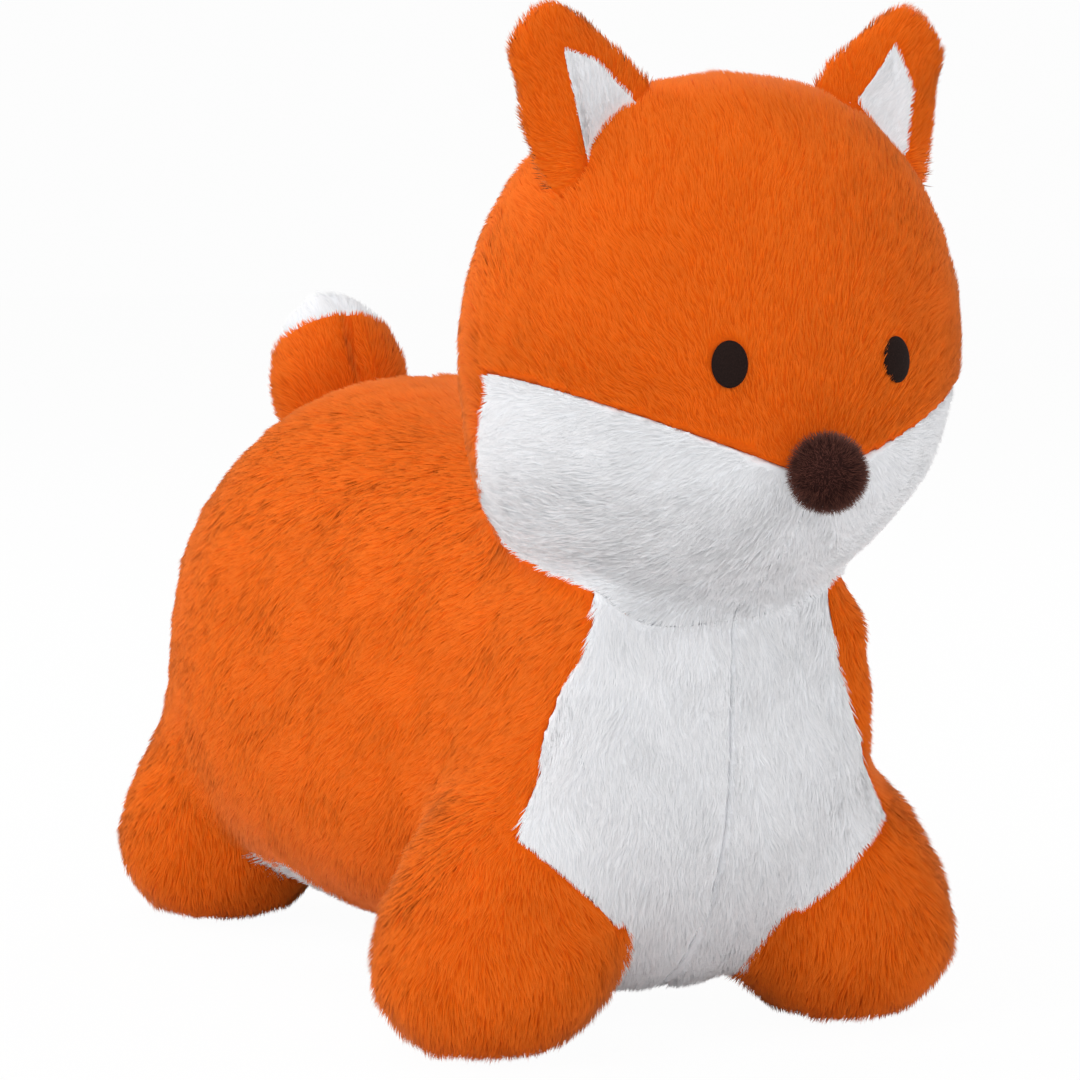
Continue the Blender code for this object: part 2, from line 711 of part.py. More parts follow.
def bladder_lobes(name, inset):
    """The body, head and leg lobes of the bladder as one closed solid."""
    whole = body_form(name, INNER_FACETS, inset)
    combine(whole, head_form(name + "_head", INNER_FACETS, inset), "UNION")
    for leg in LEGS:
        for side_name, side in SIDES:
            lobe_name = f"{name}_{leg[0]}_{side_name}"
            lobe = leg_form(lobe_name, side, leg, INNER_LEG_FACETS, inset)
            combine(whole, lobe, "UNION")
    return whole


def turned(name, profile):
    """A closed profile of (radius, height) points turned about the Z axis."""
    bm = bmesh.new()
    corners = [bm.verts.new((radius, 0, height)) for radius, height in profile]
    for one, two in zip(corners, corners[1:] + corners[:1]):
        if one.co.x > 1e-7 or two.co.x > 1e-7:
            bm.edges.new((one, two))
    bmesh.ops.spin(
        bm,
        geom=bm.verts[:] + bm.edges[:],
        axis=(0, 0, 1),
        cent=(0, 0, 0),
        steps=ROUND_FACETS,
        angle=math.tau,
        use_merge=True,
    )
    bmesh.ops.remove_doubles(bm, verts=bm.verts, dist=1e-6)
    return add_cutter(name, to_mesh(name, bm))


def moved(form, offset):
    form.data.transform(Matrix.Translation(Vector(offset)))
    return form


def build_bladder():
    """The bladder with its valve: a well sunk into the underside, and a plug."""
    gap = TOUCH_GAP
    inset = COVER_THICKNESS + gap
    inside = bladder_lobes("bladder_air", inset + BLADDER_WALL)
    skin = bladder_lobes("bladder_skin", inset)
    underside, _ = hit(surface_of(skin), (0, VALVE_Y, -FAR), (0, 0, 1))
    bladder = carve("bladder", skin, [("DIFFERENCE", inside)], BLADDER_PVC)

    well_outer = VALVE_WELL_RADIUS + VALVE_WALL
    hole = turned("valve_hole", [(0, -BODY_HEIGHT / 4), (well_outer + gap, -BODY_HEIGHT / 4),
                                 (well_outer + gap, BODY_HEIGHT / 4), (0, BODY_HEIGHT / 4)])
    base_z = underside.z
    combine(bladder, moved(hole, (0, VALVE_Y, base_z)), "DIFFERENCE")
    finish_soft(bladder)

    flange_low = BLADDER_WALL + gap + VALVE_FLANGE_LIFT
    flange_high = flange_low + VALVE_FLANGE
    well_top = VALVE_WELL_DEPTH
    neck_top = well_top + VALVE_NECK_LENGTH
    seat_profile = [
        (VALVE_WELL_RADIUS, VALVE_LIP_LIFT),
        (well_outer, VALVE_LIP_LIFT),
        (well_outer, flange_low),
        (VALVE_FLANGE_RADIUS, flange_low),
        (VALVE_FLANGE_RADIUS, flange_high),
        (well_outer, flange_high),
        (well_outer, well_top + VALVE_WALL),
        (VALVE_NECK_RADIUS, well_top + VALVE_WALL),
        (VALVE_NECK_RADIUS, neck_top),
        (VALVE_BORE_RADIUS, neck_top),
        (VALVE_BORE_RADIUS, well_top),
        (VALVE_WELL_RADIUS, well_top),
    ]
    seat = carve("valve_seat", moved(turned("valve_seat_form", seat_profile), (0, VALVE_Y, base_z)), [], VALVE_PVC)
    finish_soft(seat)

    head_top = well_top - gap
    head_low = head_top - PLUG_HEAD_THICKNESS
    shank = VALVE_BORE_RADIUS - gap
    plug_profile = [
        (0, head_low),
        (PLUG_HEAD_RADIUS - PLUG_BEVEL, head_low),
        (PLUG_HEAD_RADIUS, head_low + PLUG_BEVEL),
        (PLUG_HEAD_RADIUS, head_top),
        (shank, head_top),
        (shank, head_top + PLUG_SHANK_LENGTH * PLUG_POINT_SHARE),
        (shank * PLUG_POINT_SHARE, head_top + PLUG_SHANK_LENGTH),
        (0, head_top + PLUG_SHANK_LENGTH),
    ]
    plug = carve("valve_plug", moved(turned("plug_form", plug_profile), (0, VALVE_Y, base_z)), [], VALVE_PVC)
    finish_soft(plug)
    set_origin(plug, Vector((0, VALVE_Y, base_z + head_low)))


def build_tail(body):
    """The stuffed tail: a sleeve with a ball-shaped root, a white tip and the filling."""
    gap = TOUCH_GAP
    place, facing = hit(surface_of(body), (0, BODY_REAR_Y - TAIL_SETIN, FAR), (0, 0, -1))
    pivot = place + facing * (TAIL_BALL_RADIUS - TAIL_SEAT_DEPTH)
    lean = math.radians(TAIL_LEAN_DEG)
    spine = Vector((0, math.sin(lean), math.cos(lean)))
    across = Vector((1, 0, 0))
    back = spine.cross(across)
    rows = [(along * TAIL_BALL_RADIUS, size * TAIL_BALL_RADIUS) for along, size in TAIL_BALL_PROFILE]
    rows += [(along * TAIL_LENGTH, size * TAIL_WIDTH / 2) for along, size in TAIL_PROFILE]
    stations = [(*(pivot + spine * along), size, size) for along, size in rows]

    def form(name, facets, inset):
        return soft_form(name, stations, across, back, facets, inset)

    outer = form("tail_form", TAIL_FACETS, 0.0)
    inner = form("tail_inner", TAIL_FACETS, TAIL_THICKNESS)
    filling = form("tail_filling_form", TAIL_FACETS, TAIL_THICKNESS + gap)
    size = 2 * (TAIL_BALL_RADIUS + BEND_GAP)
    dimple = oval("tail_dimple", pivot, facing, size, size, size, DIMPLE_FACETS)
    shell = carve("tail_shell", outer, [("DIFFERENCE", inner)])
    cut_centre = pivot + spine * (TAIL_LENGTH * TAIL_TIP_SHARE)
    long = TAIL_LENGTH
    tip_region = box("tail_tip_region", (-long, -long, gap), (long, long, long * 2))
    sleeve_region = box("tail_sleeve_region", (-long, -long, -long * 2), (long, long, 0))
    turn = Matrix((across, back, spine)).transposed().to_4x4()
    tilt = Matrix.Rotation(math.radians(-TAIL_TIP_TILT_DEG), 4, "X")
    for region in (tip_region, sleeve_region):
        region.data.transform(Matrix.Translation(cut_centre) @ turn @ tilt)
    hole = turned("tail_hole", [(0, -long), (TAIL_SLEEVE_HOLE, -long), (TAIL_SLEEVE_HOLE, 0), (0, 0)])
    hole.data.transform(Matrix.Translation(pivot) @ turn)
    sleeve_steps = [("INTERSECT", sleeve_region), ("DIFFERENCE", hole)]
    pieces = [
        carve("tail_sleeve", shell, sleeve_steps, ORANGE_PLUSH),
        carve("tail_tip", shell, [("INTERSECT", tip_region)], WHITE_PLUSH),
        carve("tail_filling", filling, [], FIBRE_FILL),
    ]
    for piece in pieces:
        finish_soft(piece)
        set_origin(piece, pivot)
    return dimple


def ear_outline(side, head_tree):
    """The ear seen from the front, round from its low outer root corner.

    The root follows the head's outline with the gap that the ear bends in.
    """
    def on_head(z):
        place, _ = hit(head_tree, (side, EAR_Y, z), (-side, 0, 0))
        return abs(place.x)

    root = []
    steps = EAR_ROOT_STEPS
    for step in range(steps + 1):
        z = EAR_BASE_HIGH_Z + (EAR_BASE_LOW_Z - EAR_BASE_HIGH_Z) * step / steps
        root.append(Vector((on_head(z), z)))
    lifted = []
    for index, point in enumerate(root):
        before = root[max(0, index - 1)]
        after = root[min(steps, index + 1)]
        run = (after - before).normalized()
        lifted.append(point + Vector((-run.y, run.x)) * BEND_GAP)
    height = EAR_TIP_Z - EAR_BASE_LOW_Z
    edge = [Vector((EAR_OUTER_X + height * out, EAR_BASE_LOW_Z + height * up)) for out, up in EAR_EDGE]
    crown = [Vector((EAR_TIP_X + height * out, EAR_TIP_Z + height * up)) for out, up in EAR_CROWN]
    return lifted + edge + crown


def lens(name, side, outline, half_thickness, grow, facets=EAR_FACETS):
    """A flattened sphere whose rim is the outline, so its edge is pinched.

    It thins towards its root, where it is sewn flat and bends.
    """
    middle = sum(outline, Vector((0, 0))) / len(outline)
    ring = sorted(outline, key=lambda point: math.atan2(point.y - middle.y, point.x - middle.x))
    angles = [math.atan2(point.y - middle.y, point.x - middle.x) for point in ring]
    reaches = [(point - middle).length for point in ring]
    count = len(ring)
    root = outline[EAR_ROOT_STEPS // 2]
    away = (middle - root).normalized()

    def reach(angle):
        for index in range(count):
            start, end = angles[index], angles[(index + 1) % count]
            if end <= start:
                end += math.tau
            here = angle if angle >= start else angle + math.tau
            if start <= here <= end:
                share = (here - start) / (end - start)
                one, two = ring[index] - middle, ring[(index + 1) % count] - middle
                ray = Vector((math.cos(angle), math.sin(angle)))
                chord = two - one
                cross = ray.x * chord.y - ray.y * chord.x
                if abs(cross) > 1e-9:
                    return (one.x * chord.y - one.y * chord.x) / cross
                return reaches[index] * (1 - share) + reaches[(index + 1) % count] * share
        return reaches[0]

    bm = bmesh.new()
    bmesh.ops.create_uvsphere(bm, u_segments=facets[0], v_segments=facets[1], radius=1.0)
    for vert in bm.verts:
        angle = math.atan2(vert.co.y, vert.co.x)
        ring_share = vert.co.xy.length
        flat = (reach(angle) + grow) * ring_share
        x = middle.x + flat * math.cos(angle)
        z = middle.y + flat * math.sin(angle)
        rise = (Vector((x, z)) - root).dot(away) / EAR_TAPER_LENGTH
        fullness = EAR_ROOT_THINNING + (1 - EAR_ROOT_THINNING) * min(1.0, max(0.0, rise))
        thick = vert.co.z * (half_thickness * fullness + grow)
        vert.co = Vector((side * x, EAR_Y + thick, z))
    return add_cutter(name, to_mesh(name, bm))


def build_ear(side_name, side, head_tree):
    """A sewn ear: an orange pouch with a white lining in front, and its filling.

    Its root is cut back by the head, both at rest and folded to either limit.
    """
    gap = TOUCH_GAP
    outline = ear_outline(side, head_tree)
    hinge = outline[EAR_ROOT_STEPS // 2]
    pivot = Vector((side * hinge.x, EAR_Y, hinge.y))
    chord = outline[EAR_ROOT_STEPS] - outline[0]
    axis = Vector((side * chord.x, 0, chord.y))
    room = [("DIFFERENCE", head_form("head_grown", inset=-BEND_GAP))]
    for fold in (-EAR_FOLD_DEG, EAR_FOLD_DEG):
        head_folded = head_form("head_folded", inset=-gap)
        turn = Matrix.Rotation(math.radians(fold), 4, axis)
        head_folded.data.transform(Matrix.Translation(pivot) @ turn @ Matrix.Translation(-pivot))
        room.append(("DIFFERENCE", head_folded))
    whole = lens("ear_whole", side, outline, EAR_HALF_THICKNESS, 0.0)
    pouch = carve("ear_pouch", whole, room)
    hollow = lens("ear_hollow", side, outline, EAR_HALF_THICKNESS, -EAR_SKIN)
    stuffing = lens("ear_stuffing", side, outline, EAR_HALF_THICKNESS, -EAR_SKIN - gap)

    middle = sum(outline, Vector((0, 0))) / len(outline)
    drift = (middle - hinge).normalized() * EAR_WINDOW_DRIFT
    tip = len(outline) - len(EAR_CROWN) + 1
    corners = (outline[EAR_ROOT_STEPS], outline[0], outline[tip])
    window = [middle + (point - middle) * EAR_WINDOW_SHARE + drift for point in corners]
    window_middle = sum(window, Vector((0, 0))) / len(window)

    def triangle(name, grow):
        spread = [point + (point - window_middle).normalized() * grow for point in window]
        flat = [(side * point.x, 0, point.y) for point in spread]
        return prism(name, flat, (0, EAR_Y - FAR, 0), (0, FAR, 0))

    window_cut = triangle("ear_window", 2 * gap)
    slot = root_slot(side, hinge, (hinge - middle).normalized())
    cover_steps = [("DIFFERENCE", cutter) for cutter in (hollow, window_cut, slot)]
    lining_steps = [("DIFFERENCE", hollow), ("INTERSECT", triangle("ear_lining_cut", 0.0))]
    pieces = [
        carve("ear_cover_" + side_name, pouch, cover_steps, ORANGE_PLUSH),
        carve("ear_lining_" + side_name, pouch, lining_steps, WHITE_PLUSH),
        carve("ear_filling_" + side_name, stuffing, [], FIBRE_FILL),
    ]
    for piece in pieces:
        finish_soft(piece)
        set_origin(piece, pivot)


def root_slot(side, root, toward):
    """The slot where the ear's pouch is left open to be stuffed."""
    along = Vector((-toward.y, toward.x)) * EAR_SLOT_HALF_LENGTH
    deep = toward * EAR_SLOT_HALF_LENGTH
    points = (root + along + deep, root - along + deep, root - along - deep, root + along - deep)
    corners = [(side * point.x, 0, point.y) for point in points]
    start = (0, EAR_Y - EAR_SLOT_HALF_WIDTH, 0)
    return prism("ear_root_slot", corners, start, (0, 2 * EAR_SLOT_HALF_WIDTH, 0))


def teeth_row(side_name, side):
    """One row of moulded zip teeth on its bead, as one comb."""
    gap = TOUCH_GAP
    tooth = TEETH_PITCH / 2 - gap
    start = ZIP_FRONT_Y + STOP_LENGTH + 2 * gap
    end = ZIP_REAR_Y - STOP_LENGTH - SLIDER_LENGTH
    phase = 0.0 if side < 0 else TEETH_PITCH / 2
    outline = [(side * TEETH_BACK_X, start), (side * TEETH_ROOT_X, start)]
    y = start + phase + gap
    while y + tooth < end:
        outline.append((side * TEETH_ROOT_X, y))
        outline.append((-side * TEETH_REACH, y))
        outline.append((-side * TEETH_REACH, y + tooth))
        outline.append((side * TEETH_ROOT_X, y + tooth))
        y += TEETH_PITCH
    outline.append((side * TEETH_ROOT_X, end))
    outline.append((side * TEETH_BACK_X, end))
    low = zip_plane() - TEETH_HEIGHT / 2
    comb = prism("teeth_" + side_name, [(x, y, 0) for x, y in outline], (0, 0, low), (0, 0, TEETH_HEIGHT))
    finish_soft(carve("zip_teeth_" + side_name, comb, [], ZIP_PLASTIC))


def zip_plane():
    """Height of the middle of the zip."""
    return BELLY_CLEARANCE + ZIP_RISE


def build_zip():
    """The zip: tapes, teeth, end stops, and a slider with its hinged pull."""
    gap = TOUCH_GAP
    middle = zip_plane()
    for side_name, side in SIDES:
        inner, outer = sorted((side * (TEETH_BACK_X + gap), side * (ZIP_SLIT_HALF_WIDTH - gap)))
        low = (inner, ZIP_FRONT_Y, middle - TAPE_THICKNESS / 2)
        high = (outer, ZIP_REAR_Y, middle + TAPE_THICKNESS / 2)
        finish_soft(carve("zip_tape_" + side_name, box("tape", low, high), [], ZIP_TAPE))
        teeth_row(side_name, side)

    half_height = TEETH_HEIGHT / 2
    stop_half = TEETH_BACK_X
    stops = (("zip_stop_front", ZIP_FRONT_Y), ("zip_stop_rear", ZIP_REAR_Y - STOP_LENGTH))
    for name, y in stops:
        low = (-stop_half, y, middle - half_height)
        high = (stop_half, y + STOP_LENGTH, middle + half_height)
        finish_soft(carve(name, box("stop", low, high), [], ZIP_PLASTIC))

    reach = half_height + SLIDER_CLEARANCE
    outer = reach + SLIDER_PLATE
    rear = ZIP_REAR_Y - STOP_LENGTH - gap
    front = rear - SLIDER_LENGTH
    low, high = middle - outer, middle + outer
    slider = box("slider_block", (-SLIDER_HALF_WIDTH, front, low), (SLIDER_HALF_WIDTH, rear, high))
    post_half = SLIDER_POST_WIDTH / 2
    lane_low, lane_high = middle - reach, middle + reach
    lanes = (
        box("lane_front", (-FAR, -FAR, lane_low), (FAR, rear - SLIDER_POST_LENGTH, lane_high)),
        box("lane_left", (post_half, -FAR, lane_low), (FAR, FAR, lane_high)),
        box("lane_right", (-FAR, -FAR, lane_low), (-post_half, FAR, lane_high)),
    )
    eye_z = low - PULL_EYE_RADIUS + gap
    eye_y = front + SLIDER_LENGTH * BRIDGE_PLACE
    bridge_reach = PULL_EYE_RADIUS + BRIDGE_WALL
    bridge = box(
        "slider_bridge",
        (-BRIDGE_HALF_WIDTH, eye_y - bridge_reach, eye_z - PULL_PIN_RADIUS - BRIDGE_WALL),
        (BRIDGE_HALF_WIDTH, eye_y + bridge_reach, low + SLIDER_PLATE / 2),
    )
    pin_hole = turned_x("pull_pin_hole", PULL_PIN_RADIUS + gap, SLIDER_HALF_WIDTH, (0, eye_y, eye_z))
    steps = [("DIFFERENCE", lane) for lane in lanes]
    steps += [("UNION", bridge), ("DIFFERENCE", pin_hole)]
    slider = carve("zip_slider", slider, steps, ZIP_METAL)
    finish_soft(slider)
    set_origin(slider, Vector((0, rear, middle)))
    build_pull(eye_y, eye_z, bridge_reach)


def turned_x(name, radius, length, centre):
    """A round bar along X."""
    bm = bmesh.new()
    turn = Matrix.Rotation(math.pi / 2, 4, "Y")
    place = Matrix.Translation(Vector(centre)) @ turn
    bmesh.ops.create_cone(
        bm,
        cap_ends=True,
        segments=BAR_FACETS,
        radius1=radius,
        radius2=radius,
        depth=length,
        matrix=place,
    )
    return add_cutter(name, to_mesh(name, bm))


def build_pull(eye_y, eye_z, bridge_reach):
    """The pull tab: a pin through the slider's bridge, two arms and a flat tab."""
    gap = TOUCH_GAP
    half = PULL_WIDTH / 2
    thick = PULL_THICKNESS / 2
    tab_low = (-half, eye_y - PULL_LENGTH, eye_z - thick)
    tab = box("pull_tab", tab_low, (half, eye_y + PULL_PIN_RADIUS, eye_z + thick))
    window_half = BRIDGE_HALF_WIDTH + 2 * gap
    reach = math.hypot(bridge_reach, PULL_PIN_RADIUS + BRIDGE_WALL) + 2 * gap
    window_low = (-window_half, eye_y - reach, eye_z - PULL_WIDTH)
    window = box("pull_window", window_low, (window_half, eye_y + PULL_WIDTH, eye_z + PULL_WIDTH))
    pin = turned_x("pull_pin", PULL_PIN_RADIUS, PULL_WIDTH - 2 * gap, (0, eye_y, eye_z))
    pull = carve("zip_pull", tab, [("DIFFERENCE", window), ("UNION", pin)], ZIP_METAL)
    finish_soft(pull)
    set_origin(pull, Vector((0, eye_y, eye_z)))


def main():
    body, head = build_covers_and_bladder()
    dimple = build_tail(body)
    for panel in ("side_right", "side_left"):
        combine(bpy.data.objects[panel], dimple, "DIFFERENCE")
        finish_soft(bpy.data.objects[panel])
    head_tree = surface_of(head)
    for side_name, side in SIDES:
        build_ear(side_name, side, head_tree)
    build_zip()


main()
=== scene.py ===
# %% [markdown]
# # A plush ride-on fox
# The real toy is an inflated PVC bladder in a sewn cover of long-pile plush. Almost
# all that the eye sees is pile, so this lesson first makes a smooth skin for each
# sewn panel and then grows the pile on it. The skin lies three millimetres inside
# the toy's outline, and the pile fills that space. Everything is in metres, the fox
# faces -Y and its right side is at -X.

import json
import math
from functools import partial

import bmesh
import bpy
import numpy as np
from mathutils import Matrix, Vector
from mathutils.bvhtree import BVHTree


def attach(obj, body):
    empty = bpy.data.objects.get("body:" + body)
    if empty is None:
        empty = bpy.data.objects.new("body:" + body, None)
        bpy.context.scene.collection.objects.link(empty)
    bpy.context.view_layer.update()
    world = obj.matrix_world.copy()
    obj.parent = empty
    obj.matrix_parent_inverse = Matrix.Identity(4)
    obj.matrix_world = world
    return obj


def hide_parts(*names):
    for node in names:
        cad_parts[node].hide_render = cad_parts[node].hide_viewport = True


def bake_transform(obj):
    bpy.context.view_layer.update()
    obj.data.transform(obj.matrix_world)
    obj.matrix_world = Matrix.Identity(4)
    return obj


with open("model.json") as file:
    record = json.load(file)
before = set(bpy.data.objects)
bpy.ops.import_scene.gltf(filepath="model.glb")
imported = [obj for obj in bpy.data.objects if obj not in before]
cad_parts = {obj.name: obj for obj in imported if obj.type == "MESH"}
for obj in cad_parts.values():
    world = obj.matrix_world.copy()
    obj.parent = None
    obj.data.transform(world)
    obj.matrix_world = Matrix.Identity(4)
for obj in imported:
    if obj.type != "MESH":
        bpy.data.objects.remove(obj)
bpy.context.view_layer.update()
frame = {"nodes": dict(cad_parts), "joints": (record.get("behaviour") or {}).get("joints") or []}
JOINTS = {joint["name"]: joint for joint in frame["joints"]}

# %% [markdown]
# ## The camera
# The photograph was taken from the fox's front right, from a little above its eyes,
# with a long lens that looks slightly down. The camera stands where the outline of
# the model covers that of the toy.

# %% Place the camera
IMAGE_SIDE = 1080
SENSOR_MM = 36.0
FOCAL_PIXELS = 3792.2
CAMERA_PLACE = (-0.8322, -1.7967, 0.4440)
CAMERA_TURN_DEG = 24.854
CAMERA_DOWN_DEG = 6.170



def add_object(name, data):
    """An object of this mesh, lamp or camera, in the scene."""
    thing = bpy.data.objects.new(name, data)
    bpy.context.scene.collection.objects.link(thing)
    return thing


camera_data = bpy.data.cameras.new("camera")
camera_data.sensor_width = SENSOR_MM
camera_data.lens = FOCAL_PIXELS / IMAGE_SIDE * SENSOR_MM
camera = add_object("camera", camera_data)
camera.location = CAMERA_PLACE
camera.rotation_euler = (math.radians(90 - CAMERA_DOWN_DEG), 0, math.radians(-CAMERA_TURN_DEG))
bpy.context.scene.camera = camera
bpy.context.scene.view_settings.view_transform = "Standard"
print("lens", round(camera_data.lens, 1), "mm")

# %% [markdown]
# ## Colours and materials
# A colour is written as the hex value that it has on a screen, and one function turns
# it into the linear light that a shader mixes. Another adds one node with its
# settings and links, so that each material reads as a list of its nodes.


# %% Helpers for colours and nodes
def linear(hex_colour):
    """The linear colour of a hex value such as E8640F."""
    values = [int(hex_colour[start:start + 2], 16) / 255 for start in (0, 2, 4)]
    values = [v / 12.92 if v <= 0.04045 else ((v + 0.055) / 1.055) ** 2.4 for v in values]
    return (*values, 1.0)


def add_node(material, kind, links=(), **settings):
    """Add a node. A link is (socket of this node, node, socket that feeds it)."""
    node = material.node_tree.nodes.new("ShaderNode" + kind)
    for name, value in settings.items():
        if name.startswith("in_"):
            key = name[3:].replace("_", " ")
            node.inputs[int(key) if key.isdigit() else key].default_value = value
        else:
            setattr(node, name, value)
    for socket, source, output in links:
        material.node_tree.links.new(source.outputs[output], node.inputs[socket])
    return node


def new_material(name, **settings):
    """An empty node material and its shader, with the shader's own numbers set."""
    material = bpy.data.materials.new(name)
    material.use_nodes = True
    shader = material.node_tree.nodes["Principled BSDF"]
    for socket, value in settings.items():
        shader.inputs[socket.replace("_", " ")].default_value = value
    return material, shader


def feed(material, source, output, target, socket):
    material.node_tree.links.new(source.outputs[output], target.inputs[socket])


# %% [markdown]
# ## Floor and light
# The photograph has a plain white ground with hardly a shadow. One large sheet lies as
# the floor. To the camera it is mostly plain white, and it still takes a faint shadow.
# Beyond it the world is white to the camera too, so that no horizon shows. The light
# is soft and comes from all round: a strong lamp above on the left, a stronger one
# further off behind it, a weaker one on the right and a ring of small ones.

# %% Build the floor and the world
FLOOR_SIDE = 16.0
FLOOR_WHITE = 0.86
FLOOR_FLAT_SHARE = 0.97
WORLD_STRENGTH = 0.27
WORLD_SHOWN = 0.98

bpy.ops.object.select_all(action="DESELECT")
bpy.ops.mesh.primitive_plane_add(size=FLOOR_SIDE, location=(0, 0, 0))
floor = bpy.context.object
floor.name = "floor_sheet"
floor_material, floor_shader = new_material(
    "floor_white", Base_Color=(FLOOR_WHITE, FLOOR_WHITE, FLOOR_WHITE, 1), Roughness=0.9,
    Specular_IOR_Level=0.0,
)
path = add_node(floor_material, "LightPath")
flat_share = add_node(
    floor_material, "Math", [(0, path, "Is Camera Ray")], operation="MULTIPLY", in_1=FLOOR_FLAT_SHARE
)
glow = add_node(floor_material, "Emission", in_Color=(1, 1, 1, 1), in_Strength=1.0)
floor_mix = add_node(
    floor_material, "MixShader", [(0, flat_share, 0), (1, floor_shader, 0), (2, glow, 0)]
)
feed(floor_material, floor_mix, 0, floor_material.node_tree.nodes["Material Output"], "Surface")
floor.data.materials.append(floor_material)

world = bpy.data.worlds.new("soft_room")
bpy.context.scene.world = world
world.use_nodes = True
background = world.node_tree.nodes["Background"]
background.inputs["Color"].default_value = (1, 1, 1, 1)
path = add_node(world, "LightPath")
seen = add_node(world, "Math", [(0, path, "Is Camera Ray"), (1, path, "Is Glossy Ray")], operation="ADD")
seen = add_node(
    world, "Math", [(0, seen, 0), (1, path, "Is Transmission Ray")], operation="ADD", use_clamp=True
)
strength = add_node(world, "MapRange", [("Value", seen, 0)], in_3=WORLD_STRENGTH, in_4=WORLD_SHOWN)
feed(world, strength, 0, background, "Strength")
print("floor", FLOOR_SIDE, "m wide")

# %% Hang the lamps
# Turn and height in degrees, distance, size and watts. Turn 245 is the camera's side.
LAMPS = (
    ("key_lamp", 196, 38, 3.2, 1.2, 40.0),
    ("back_lamp", 136, 28, 4.4, 1.6, 82.0),
    ("top_lamp", 90, 80, 2.8, 1.2, 13.0),
    ("fill_lamp", 304, 28, 3.2, 1.2, 17.0),
    ("rear_lamp", 40, 35, 2.8, 0.9, 12.0),
    ("side_lamp", 350, 15, 2.8, 0.9, 11.0),
    ("front_lamp", 250, 20, 2.8, 0.9, 6.0),
    ("low_lamp", 262, 3, 2.8, 0.9, 11.0),
)
AIM = Vector((0, 0, 0.25))
for name, turn_deg, height_deg, distance, size, watts in LAMPS:
    lamp_data = bpy.data.lights.new(name, "AREA")
    lamp_data.size = size
    lamp_data.energy = watts
    lamp = add_object(name, lamp_data)
    turn, rise = math.radians(turn_deg), math.radians(height_deg)
    way = Vector((math.cos(turn) * math.cos(rise), math.sin(turn) * math.cos(rise), math.sin(rise)))
    lamp.location = AIM + way * distance
    lamp.rotation_euler = (-way).to_track_quat("-Z", "Y").to_euler()
    lamp.visible_camera = False
print("lamps", [lamp[0] for lamp in LAMPS])

# %% [markdown]
# ## The soft forms
# An inflated animal has no flat faces. Each form is a sphere drawn out along a spine,
# through a row of stations that say how wide and how high it is there, as a pattern
# maker would take its girth. The tables are the same as in the toy's construction.

# %% The stations of body, head and legs
BODY_FRONT_Y = -0.2284
BODY_LENGTH = 0.512
BODY_WIDTH = 0.276
BODY_HEIGHT = 0.289
BELLY_CLEARANCE = 0.019
BODY_SQUARENESS = 2.6
PEAR_FRONT = 0.14
PEAR_REAR = 0.09
# How far along, the undersides and tops as shares of the height, and the width.
BODY_PROFILE = (
    (0, 0.56, 0.56, 0), (0.022, 0.32, 0.77, 0.55), (0.06, 0.17, 0.84, 0.645),
    (0.15, 0.012, 0.91, 0.685), (0.268, -0.004, 0.93, 0.735), (0.443, -0.006, 0.955, 0.88),
    (0.637, -0.006, 0.998, 0.99), (0.753, 0.005, 0.993, 1.015), (0.87, 0.05, 0.888, 0.945),
    (0.951, 0.168, 0.73, 0.74), (0.986, 0.3, 0.607, 0.43), (1, 0.445, 0.445, 0),
)
HEAD_BOTTOM_Z = 0.205
HEAD_HEIGHT = 0.2668
HEAD_WIDTH = 0.2455
HEAD_DEPTH = 0.220
HEAD_CENTRE_Y = BODY_FRONT_Y + 0.035
# How far up, the width, and how far the face and the back of the head reach.
HEAD_PROFILE = (
    (0, 0, -0.118, 0.118), (0.017, 0.29, 0.1, 0.48), (0.057, 0.49, 0.325, 0.88),
    (0.128, 0.665, 0.57, 1.12), (0.181, 0.755, 0.725, 1.2), (0.234, 0.825, 0.845, 1.22),
    (0.29, 0.885, 0.935, 1.18), (0.396, 0.955, 0.995, 1.09), (0.508, 1, 1, 1),
    (0.622, 0.98, 0.95, 0.93), (0.735, 0.91, 0.86, 0.81), (0.848, 0.765, 0.725, 0.615),
    (0.942, 0.53, 0.505, 0.315), (0.987, 0.27, 0.29, 0.08), (1, 0, 0.09, -0.09),
)
CHEST_FLAT_Y = BODY_FRONT_Y + 0.011
CHEST_FLAT_SHARE = 0.35
MUZZLE_SWELL = 0.002
MUZZLE_SPREAD = 0.040
MUZZLE_Z = HEAD_BOTTOM_Z + 0.079
# How far up, and the radius.
LEG_PROFILE = (
    (0, 0), (0.016, 0.41), (0.075, 0.705), (0.21, 0.94), (0.36, 1),
    (0.57, 0.935), (0.77, 0.76), (0.925, 0.44), (1, 0),
)
# Distance from the middle, place along Y, radius, height and inward lean of a leg.
LEGS = {
    "front": (0.0975, BODY_FRONT_Y + 0.078, 0.0615, 0.159, 0.036),
    "hind": (0.1015, BODY_FRONT_Y + 0.438, 0.0640, 0.158, 0.030),
}
SIDES = (("right", -1), ("left", 1))
PILE_ROOM = 0.003


